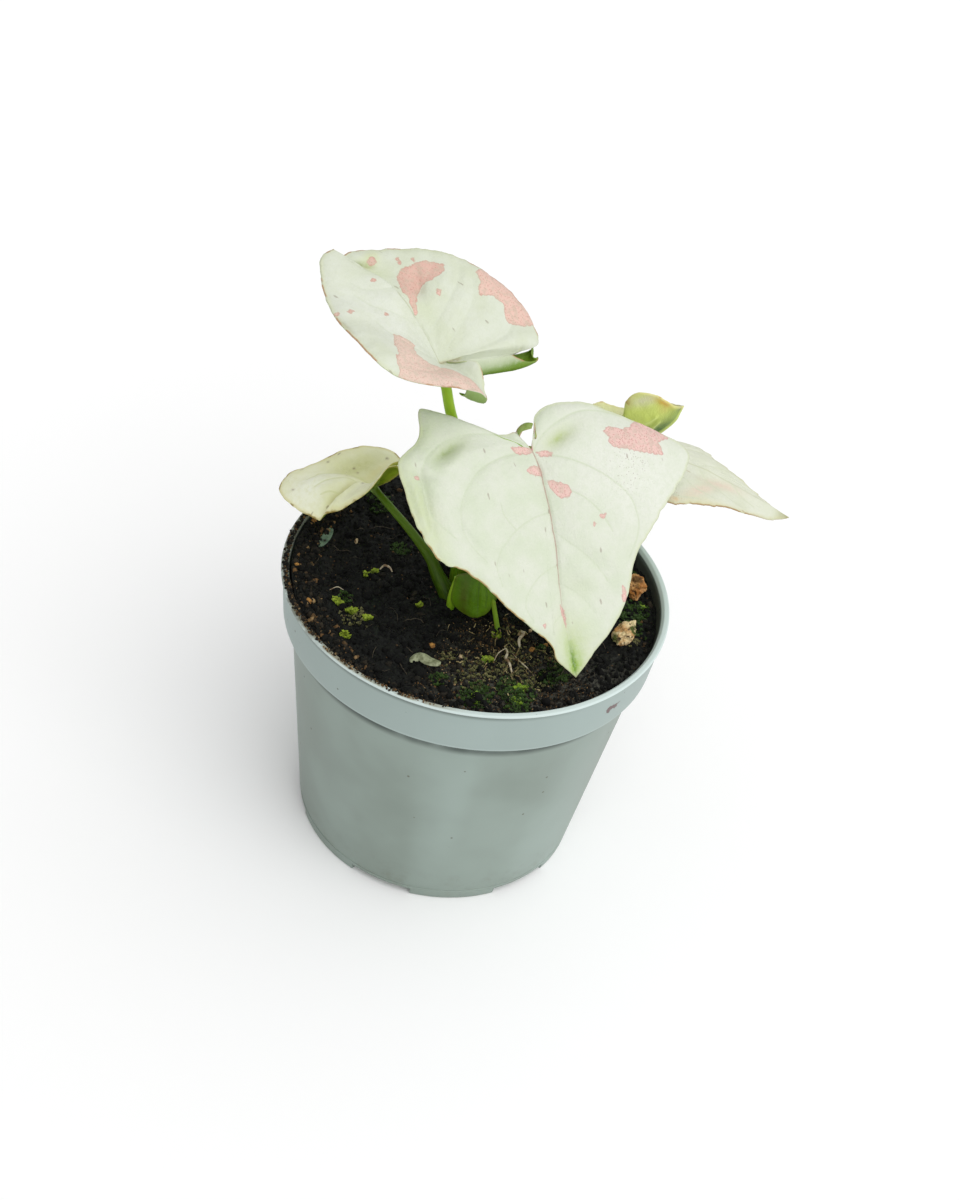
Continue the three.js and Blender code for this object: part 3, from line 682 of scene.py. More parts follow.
def ribbon(way, width, thickness, sag):
    """A thin closed strip along a smooth way, curved across its width and pointed at both ends.

    Half its width at share s is width / 2 * (4 s (1 - s)) ** 0.35. Its edges stand higher than its middle
    line by sag, or lower where sag is below zero.
    """
    centre = smooth_line(way, RIBBON_STEPS - 1)
    share = np.linspace(0, 1, RIBBON_STEPS)
    ahead = np.gradient(centre, axis=0)
    side = np.cross(ahead, (0, 0, 1.0))
    side /= np.linalg.norm(side, axis=1, keepdims=True)
    half = width / 2 * np.clip(4 * share * (1 - share), 0.002, 1) ** 0.35
    turn = np.linspace(0, 2 * math.pi, RIBBON_SIDES, endpoint=False)
    out, up = np.cos(turn), np.sin(turn) * thickness / 2
    dip = sag * (out**2 - 0.5)
    points = centre[:, None] + side[:, None] * (half[:, None] * out)[..., None]
    points[..., 2] += up * (half / half.max())[:, None] + dip
    numbers = numbered(points)
    return points.reshape(-1, 3), ring_quads(numbers) + [numbers[0, ::-1].tolist(), numbers[-1].tolist()]


def run_along(line):
    """The length along a line of points up to each of them."""
    return np.r_[0, np.cumsum(np.linalg.norm(np.diff(line, axis=0), axis=1))]


def smooth_line(points, count):
    """A centripetal Catmull-Rom curve through the points, read at count even steps along its length."""
    p = np.array(points, float)
    p = np.vstack([2 * p[0] - p[1], p, 2 * p[-1] - p[-2]])
    s = np.sqrt(np.linalg.norm(np.diff(p, axis=0), axis=1))[:, None, None]
    s0, s1, s2 = s[:-2], s[1:-1], s[2:]
    a, b, c, d = (v[:, None] for v in (p[:-3], p[1:-2], p[2:-1], p[3:]))
    start = c - b + s1 * ((b - a) / s0 - (c - a) / (s0 + s1))
    end = c - b + s1 * ((d - c) / s2 - (d - b) / (s1 + s2))
    t = np.linspace(0, 1, CURVE_STEPS, endpoint=False)[None, :, None]
    line = (2 * t**3 - 3 * t**2 + 1) * b + (t**3 - 2 * t**2 + t) * start
    line = line + (3 * t**2 - 2 * t**3) * c + (t**3 - t**2) * end
    line = np.vstack([line.reshape(-1, p.shape[1]), p[-2]])
    length = run_along(line)
    even = np.linspace(0, length[-1], count + 1)
    return np.stack([np.interp(even, length, line[:, k]) for k in range(p.shape[1])], 1)


def dry_finish(name, pale, dark):
    """Dry plant matter, mottled between two colours."""
    f = Finish(name, Specular_IOR_Level=0.35)
    place = f.place()
    mottle = f.noise(place, 700, 3, 0.6)
    colour = f.mix(f.step(mottle, 0.4, 0.65), pale, dark)
    return f.finish(colour, 0.55 + mottle * 0.2, [(mottle, 0.0002, 0.5)])


def on_soil(way, lift):
    """Puts each (x, y, rise) of a way on the bed, with its rise and a common lift added."""
    way = np.array(way, float)
    way[:, 2] += soil_height(way[:, 0], way[:, 1]) + lift
    return way


def joined(parts):
    """Several (points, faces) pairs as one."""
    points, faces, start = [], [], 0
    for part_points, part_faces in parts:
        points.append(part_points)
        faces += [[number + start for number in face] for face in part_faces]
        start += len(part_points)
    return np.vstack(points), faces


def add_litter(name, parts, skin, pale, dark, slot="litter", replaced=()):
    """The parts as one piece of dry plant matter, with the name and the two colours of its skin."""
    points, faces = joined(parts)
    return add_piece(name, points, faces, dry_finish(skin, pale, dark), slot, replaced)


flake_way = [(-28.0, 7.2, 0), (-28.4, 4.6, 0.15), (-29.1, 1.8, 0)]
flake = ribbon(on_soil(flake_way, 0.45), width=1.7, thickness=0.28, sag=0.25)
flake_node = ["leaf_litter_flake"]
add_litter("narrow_flake", [flake], "blue_green_flake", (116, 140, 118), (74, 96, 80), replaced=flake_node)
scrap_way = [(-8.6, -21.6, 0.1), (-6.9, -21.0, 0.5), (-5.2, -21.8, 0.6), (-3.2, -22.3, 0.2)]
scrap = ribbon(on_soil(scrap_way, 0.35), width=2.2, thickness=0.3, sag=-0.5)
add_litter("leaf_scrap", [scrap], "pale_leaf_scrap", (168, 174, 140), (96, 100, 70))

# ---------- root threads ----------
# Pale root threads lie half out of the bed in front of the crown. Thin dry peat fibres are strewn all
# over it, and short bits of straw lie in a heap at the front.

ROOT_STEPS = 24
FIBRE_COUNT = 70
FIBRE_LIMIT = 31.5
FIBRE_SEED = 31
STRAW_COUNT = 80
STRAW_HEAP = (7, -17)
STRAW_SPREAD = 5
STRAW_LIMIT = 30
STRAW_SEED = 32


def tube(way, radii, sides, reference=(0.0, 0.0, 1.0), groove=0.0):
    """A closed tube along a way, with a radius for each point of the way.

    Its section at angle a is radius * (1 - groove * exp(-(a / 0.45) ** 2)).
    """
    way, radii = np.array(way, float), np.array(radii, float)
    ahead = np.gradient(way, axis=0)
    ahead /= np.linalg.norm(ahead, axis=1, keepdims=True)
    first = np.cross(ahead, reference)
    first /= np.linalg.norm(first, axis=1, keepdims=True)
    second = np.cross(first, ahead)
    angle = np.linspace(-math.pi, math.pi, sides, endpoint=False)
    section = 1 - groove * np.exp(-((angle / 0.45) ** 2))
    out, across = section * np.cos(angle), section * np.sin(angle)
    arms = second[:, None] * out[None, :, None] + first[:, None] * across[None, :, None]
    rings = way[:, None] + radii[:, None, None] * arms
    numbers = numbered(rings)
    faces = ring_quads(numbers[::-1]) + [numbers[0].tolist(), numbers[-1, ::-1].tolist()]
    return rings.reshape(-1, 3), faces


ROOTS = [
    ([(7, -13.4, 0.1), (7.6, -15, 0.55), (7.5, -16.8, 0.35), (8.2, -18.2, 0.5), (8.9, -19.7, 0)], 0.26),
    ([(9.2, -8.9, 0.1), (9.8, -10.4, 0.6), (9.2, -12.0, 0.5), (9.6, -13.4, 0.0)], 0.3),
    ([(8.5, -15.2, 0.2), (9.8, -16.3, 0.5), (11.4, -17.9, 0.4), (13.0, -18.6, 0.1)], 0.1),
    ([(7.2, -14.2, 0.4), (6.1, -15.9, 0.6), (5.6, -18.0, 0.3)], 0.09),
    ([(-17.6, 0.2, 0.0), (-16.9, 0.9, 0.5), (-15.9, 0.6, 0.6), (-15.3, -0.1, 0.1)], 0.2),
    ([(-25.2, -8.0, 0.2), (-23.9, -7.2, 0.6), (-22.8, -7.4, 0.4)], 0.08),
]
thickest_half_way = 0.55 + 0.45 * np.sin(np.linspace(0, 1, ROOT_STEPS + 1) * math.pi)
thread_parts = []
for places, radius in ROOTS:
    thread_parts.append(tube(smooth_line(on_soil(places, 0.1), ROOT_STEPS), radius * thickest_half_way, 8))
add_litter("root_threads", thread_parts, "root_skin", (214, 202, 176), (138, 112, 84))

fibre_dice = np.random.default_rng(FIBRE_SEED)
fibre_parts = []
for x, y in zip(*scattered(FIBRE_COUNT, fibre_dice, 4, 30)):
    heading, length = fibre_dice.uniform(0, 2 * math.pi), fibre_dice.uniform(1.5, 4.5)
    bend = fibre_dice.uniform(-0.6, 0.6)
    steps = np.linspace(0, 1, 7)
    xs = x + length * steps * np.cos(heading + bend * steps)
    ys = y + length * steps * np.sin(heading + bend * steps)
    places = np.stack([xs, ys, 0.45 * np.sin(steps * math.pi)], -1)
    if np.hypot(xs, ys).max() < FIBRE_LIMIT:
        fibre_parts.append(tube(on_soil(places, 0.1), np.full(7, fibre_dice.uniform(0.04, 0.09)), 5))
add_litter("peat_fibres", fibre_parts, "fibre_skin", (76, 68, 54), (38, 32, 26), "soil")

straw_dice = np.random.default_rng(STRAW_SEED)
straw_parts = []
for x, y in zip(*(straw_dice.normal(middle, STRAW_SPREAD, STRAW_COUNT) for middle in STRAW_HEAP)):
    heading, length = straw_dice.uniform(0, 2 * math.pi), straw_dice.uniform(0.5, 2.0)
    steps = np.linspace(-0.5, 0.5, 5)
    xs, ys = x + length * steps * np.cos(heading), y + length * steps * np.sin(heading)
    places = np.stack([xs, ys, steps * 0.7], -1)
    if np.hypot(x, y) < STRAW_LIMIT:
        straw_parts.append(tube(on_soil(places, 0.25), np.full(5, straw_dice.uniform(0.04, 0.1)), 5))
add_litter("straw_bits", straw_parts, "straw_skin", (190, 172, 124), (112, 92, 56))

# ---------- moss ----------
# Moss has started on the moist soil: bright lime buttons at the left, and dark green mats of tiny
# pointed leaves in front and at the right.

MOSS_LIMIT = 32.2
MOSS_SINK = 0.05
MOSS_BLADE = [(0.0, 0.16), (0.45, 0.2), (0.8, 0.13), (1.0, 0.01)]


def moss_tufts(spots, height, spread, blades, random):
    """Rosettes of pointed blades, each a strip of three quads that bends outwards.

    At share s along the blade its height is height * s * (1.3 - 0.5 s) and its reach spread * s ** 1.5.
    MOSS_BLADE gives the shares of its rows of points and half its width at each.
    """
    count = len(spots) * blades
    centre = np.repeat(spots, blades, 0)
    heading = random.uniform(0, 2 * math.pi, count)
    size = random.uniform(0.6, 1.25, count)
    out = np.stack([np.cos(heading), np.sin(heading), heading * 0], -1)
    side = np.stack([-np.sin(heading), np.cos(heading), heading * 0], -1)
    rows = []
    for share, width in MOSS_BLADE:
        rise = (height * size * share * (1.3 - 0.5 * share))[:, None] * np.array([0, 0, 1.0])
        reach = out * (spread * size * share**1.5)[:, None]
        for edge in (-1, 1):
            rows.append(centre + rise + reach + side * (edge * width * size)[:, None])
    points = np.stack(rows, 1).reshape(-1, 3)
    quads = np.array([[0, 1, 3, 2], [2, 3, 5, 4], [4, 5, 7, 6]])
    faces = quads[None] + (np.arange(count) * 8)[:, None, None]
    tip = np.tile(np.repeat([share for share, width in MOSS_BLADE], 2), count)
    return points, faces.reshape(-1, 4).tolist(), tip


def moss_finish(name, low, high):
    """The low colour at the foot of each blade and the high one at its tip."""
    f = Finish(name, Specular_IOR_Level=0.3)
    tip = f.attribute("tip")
    clouds = f.noise(f.place(), 500, 2, 0.5)
    colour = f.mix(tip, low, high)
    colour = f.mix(f.step(clouds, 0.4, 0.7) * 0.5, colour, low)
    return f.finish(colour, 0.6 + clouds * 0.1)


def add_moss(name, mats, each, height, spread, blades, colours, seed):
    """Tufts spread over round mats of (x, y, radius), thinner towards each mat's edge."""
    random = np.random.default_rng(seed)
    spots = []
    for x, y, radius in mats:
        count = max(4, int(each * radius**2))
        reach = radius * random.random(count) ** 0.6
        angle = random.uniform(0, 2 * math.pi, count)
        spots.append(np.stack([x + reach * np.cos(angle), y + reach * np.sin(angle)], -1))
    spots = np.vstack(spots)
    spots = spots[np.hypot(*spots.T) < MOSS_LIMIT]
    places = np.column_stack([spots, soil_height(*spots.T) - MOSS_SINK])
    points, faces, tip = moss_tufts(places, height, spread, blades, random)
    material = moss_finish(name + "_green", *colours)
    return add_piece(name, points, faces, material, "soil", values={"tip": tip})


LIME_BUTTONS = [
    (-23.1, -10.9, 0.9), (-20.4, -12.1, 1.0), (-17.3, -13.5, 0.8), (-20.2, -19.2, 0.8),
    (-18.5, -0.8, 0.6), (-19.6, -2.5, 0.5), (-9.1, -7.7, 0.5), (5.3, -11.3, 0.7), (4.5, -17.8, 0.8),
]
OLIVE_MATS = [
    (6.0, -20.0, 4.2), (9.5, -15.0, 3.6), (2.0, -24.0, 3.0), (12.0, -20.5, 3.0), (14.5, -15.5, 2.2),
    (7.5, -11.0, 2.6), (-1.5, -20.0, 2.4), (-19.5, -13.5, 3.2), (29.0, -6.0, 2.0),
]
DARK_MATS = [
    (3.6, -27.6, 3.0), (10.2, -24.4, 3.4), (10.5, -27.6, 2.4), (16.2, -18.2, 2.6), (29.2, 3.4, 2.6),
    (28.2, 0.2, 2.2), (30.0, -2.8, 1.4), (-22.0, -8.6, 1.4), (26.5, 13.5, 2.4), (-3.0, -25.5, 1.6),
    (13.5, -12.8, 1.3), (-14.8, 7.2, 2.0), (-2.0, 26.0, 3.0), (15.0, 21.0, 3.2), (-21.0, 19.0, 2.6),
]
LIME_TIPS = [(10.9, -23.2, 1.2), (10.5, -27.1, 0.8), (3.8, -28.6, 0.9), (4.2, -18.6, 0.6), (30.0, 4.3, 0.6)]
add_moss("moss_buttons", LIME_BUTTONS, 44, 0.62, 0.4, 7, ((66, 84, 14), (164, 184, 56)), 41)
add_moss("moss_mats", DARK_MATS, 16, 0.5, 0.36, 6, ((14, 26, 8), (56, 84, 22)), 42)
add_moss("moss_tips", LIME_TIPS, 20, 0.6, 0.4, 6, ((36, 62, 12), (140, 172, 46)), 43)
add_moss("olive_fuzz", OLIVE_MATS, 7, 0.42, 0.3, 5, ((34, 36, 22), (126, 124, 76)), 44)

# ---------- crown and leaf stalks ----------
# The stem is a short ringed stub. Each leaf stalk rises from it out of its own sheath, wide and
# grooved at the foot, and narrows to a round green stalk that ends under the leaf.

CROWN_AXIS = (0.4, -2.8)
CROWN_FOOT = 44.0
CROWN_HEIGHT = 19.6
CROWN_RADIUS = 2.7
CROWN_RINGS = 60
CROWN_SIDES = 64
STALK_SIDES = 28
SHEATH_REACH = 9.0
STALKS = {
    "front_leaf_petiole": {
        "way": [
            (1.6, -1.6, 50), (2.9, -0.6, 55), (5.2, 2.6, 66), (5.0, 3.0, 76), (4.0, 0.6, 83),
            (4.6, -2.0, 86.7),
        ],
        "radii": (1.9, 1.05, 0.75), "tone": 0.35,
    },
    "top_leaf_petiole": {
        "way": [
            (-1.8, -0.8, 50), (-3.2, 0.2, 54), (-4.4, 1.6, 66), (-6.4, 1.4, 80), (-9.8, -2.8, 92),
            (-11.4, -3.8, 98), (-12.6, -4.0, 100.8),
        ],
        "radii": (2.0, 1.1, 0.84), "tone": 1.0,
    },
    "left_leaf_petiole": {
        "way": [
            (-2.6, -4.0, 50), (-4.6, -3.4, 53.8), (-7.1, -2.4, 57), (-8.8, -1.4, 59.4), (-12.4, 0.6, 62.2),
            (-17.7, 4.6, 64.4), (-21.4, 8.0, 65.2),
        ],
        "radii": (1.9, 0.92, 0.66), "tone": 0.0,
    },
    "right_leaf_petiole": {
        "way": [
            (1.8, 0.4, 50), (2.6, 2.4, 54.5), (5.5, 5.5, 61), (11.5, 10.5, 71.5), (17, 14, 77.8),
            (19.4, 15, 80.4),
        ],
        "radii": (1.6, 0.95, 0.7), "tone": 0.5,
    },
    "back_leaf_petiole": {
        "way": [
            (0.0, 0.6, 50), (-0.2, 3.0, 54.5), (1.5, 8, 60), (7.5, 17, 67), (13.5, 24.5, 71.2),
            (17.9, 28.0, 72.9),
        ],
        "radii": (1.5, 0.9, 0.65), "tone": 0.6,
    },
}


def stalk_finish(name, tone):
    """Fresh green skin with fine paler lines along it, darker at the foot and brighter to the leaf."""
    f = Finish(name, Specular_IOR_Level=0.25, Subsurface_Weight=0.12, Subsurface_Scale=0.001)
    along = f.attribute("along")
    around = f.attribute("around", "Vector")
    lines = f.noise(around, 9, 2, 0.5, stretch=(1, 1, 0.06))

    def brighter(colour, gain):
        return tuple(np.array(colour) + tone * np.array(gain))

    low, high = brighter((44, 70, 6), (50, 66, 10)), brighter((78, 108, 10), (62, 70, 30))
    colour = f.mix(f.step(along, 0.0, 0.75), low, high)
    colour = f.mix(f.step(lines, 0.42, 0.68) * 0.4, colour, brighter((104, 134, 24), (62, 62, 30)))
    colour = f.mix(f.step(along, 0.94, 1.0) * 0.3, colour, (176, 204, 112))
    return f.finish(colour, 0.42 + lines * 0.1, [(lines, 0.0001, 0.6)])


def add_stalk(name, node, way, radii, tone, steps=90):
    """A stalk that is wide in its sheath and swells a little again where it meets the leaf.

    At length x and share s of the whole, its radius is middle + (top - middle) s + (wide - middle) *
    exp(-(x / SHEATH_REACH) ** 2).
    """
    line = smooth_line(way, steps)
    length = run_along(line)
    share = length / length[-1]
    wide, middle, top = radii
    radius = middle + (top - middle) * share + (wide - middle) * np.exp(-((length / SHEATH_REACH) ** 2))
    radius = radius * (1 + 0.25 * np.clip((share - 0.94) / 0.06, 0, 1))
    points, faces = tube(line, radius, STALK_SIDES, reference=(0.0, 1.0, 0.15), groove=0.22)
    angle = np.tile(np.linspace(-math.pi, math.pi, STALK_SIDES, endpoint=False), len(line))
    around = np.stack([np.cos(angle), np.sin(angle), np.repeat(length, STALK_SIDES)], -1)
    values = {"along": np.repeat(share, STALK_SIDES), "around": around}
    return add_piece(name, points, faces, stalk_finish(name + "_skin", tone), "green_stem", [node], values)


for node, stalk in STALKS.items():
    add_stalk(node.replace("petiole", "stalk"), node, **stalk)
sheath_way = [(-3.7, -5.9, 52.6), (-3.9, -6.0, 55), (-3.8, -5.7, 57.4), (-3.5, -5.2, 59.6)]
add_stalk("stalk_sheath", "left_leaf_petiole", sheath_way, (0.8, 0.7, 0.4), 1.3, steps=30)
shoot_way = [(5.9, -11.2, 52.4), (5.0, -9.7, 54.2), (4.1, -8.3, 56.2), (3.0, -6.6, 58.6)]
add_stalk("shoot_stalk", "young_shoot", shoot_way, (0.5, 0.45, 0.36), 0.9, steps=30)


def crown_surface():
    """A stub turned about its axis: its radius swells at each leaf scar and wavers round it."""
    height = np.linspace(CROWN_FOOT, CROWN_FOOT + CROWN_HEIGHT, CROWN_RINGS)
    angle = np.linspace(0, 2 * math.pi, CROWN_SIDES, endpoint=False)
    share = (height - CROWN_FOOT) / CROWN_HEIGHT
    radius = CROWN_RADIUS * np.clip(1 - share**3.2, 0.0, 1) ** 0.6 + 0.001
    radius = radius * (1 + 0.08 * np.cos(height * 2.1) ** 8)
    places = np.stack(np.broadcast_arrays(np.cos(angle)[None], np.sin(angle)[None], height[:, None] / 6), -1)
    waver = 1 + 0.1 * noise(places.reshape(-1, 3) * 2 + 3, 0.8, 2).reshape(CROWN_RINGS, CROWN_SIDES)
    reach = radius[:, None] * waver
    x, y = CROWN_AXIS[0] + reach * np.cos(angle), CROWN_AXIS[1] + reach * np.sin(angle)
    points = np.stack([x, y, np.repeat(height[:, None], CROWN_SIDES, 1)], -1)
    numbers = numbered(points)
    return points.reshape(-1, 3), ring_quads(numbers) + [numbers[0, ::-1].tolist(), numbers[-1].tolist()]


def crown_finish():
    """Brown by the soil and green above, with pale streaks up it."""
    f = Finish("crown_skin", Specular_IOR_Level=0.4)
    place = f.place()
    height = f.part_of(place, "Z")
    streaks = f.noise(place, 900, 3, 0.6, stretch=(1, 1, 0.12))
    colour = f.mix(f.step(height, 0.053, 0.06), (74, 70, 34), (112, 140, 62))
    colour = f.mix(f.step(streaks, 0.45, 0.68) * 0.6, colour, (152, 164, 104))
    return f.finish(colour, 0.5 + streaks * 0.1, [(streaks, 0.0002, 0.6)])


add_piece("crown", *crown_surface(), crown_finish(), "green_stem", ["crown_stem"])
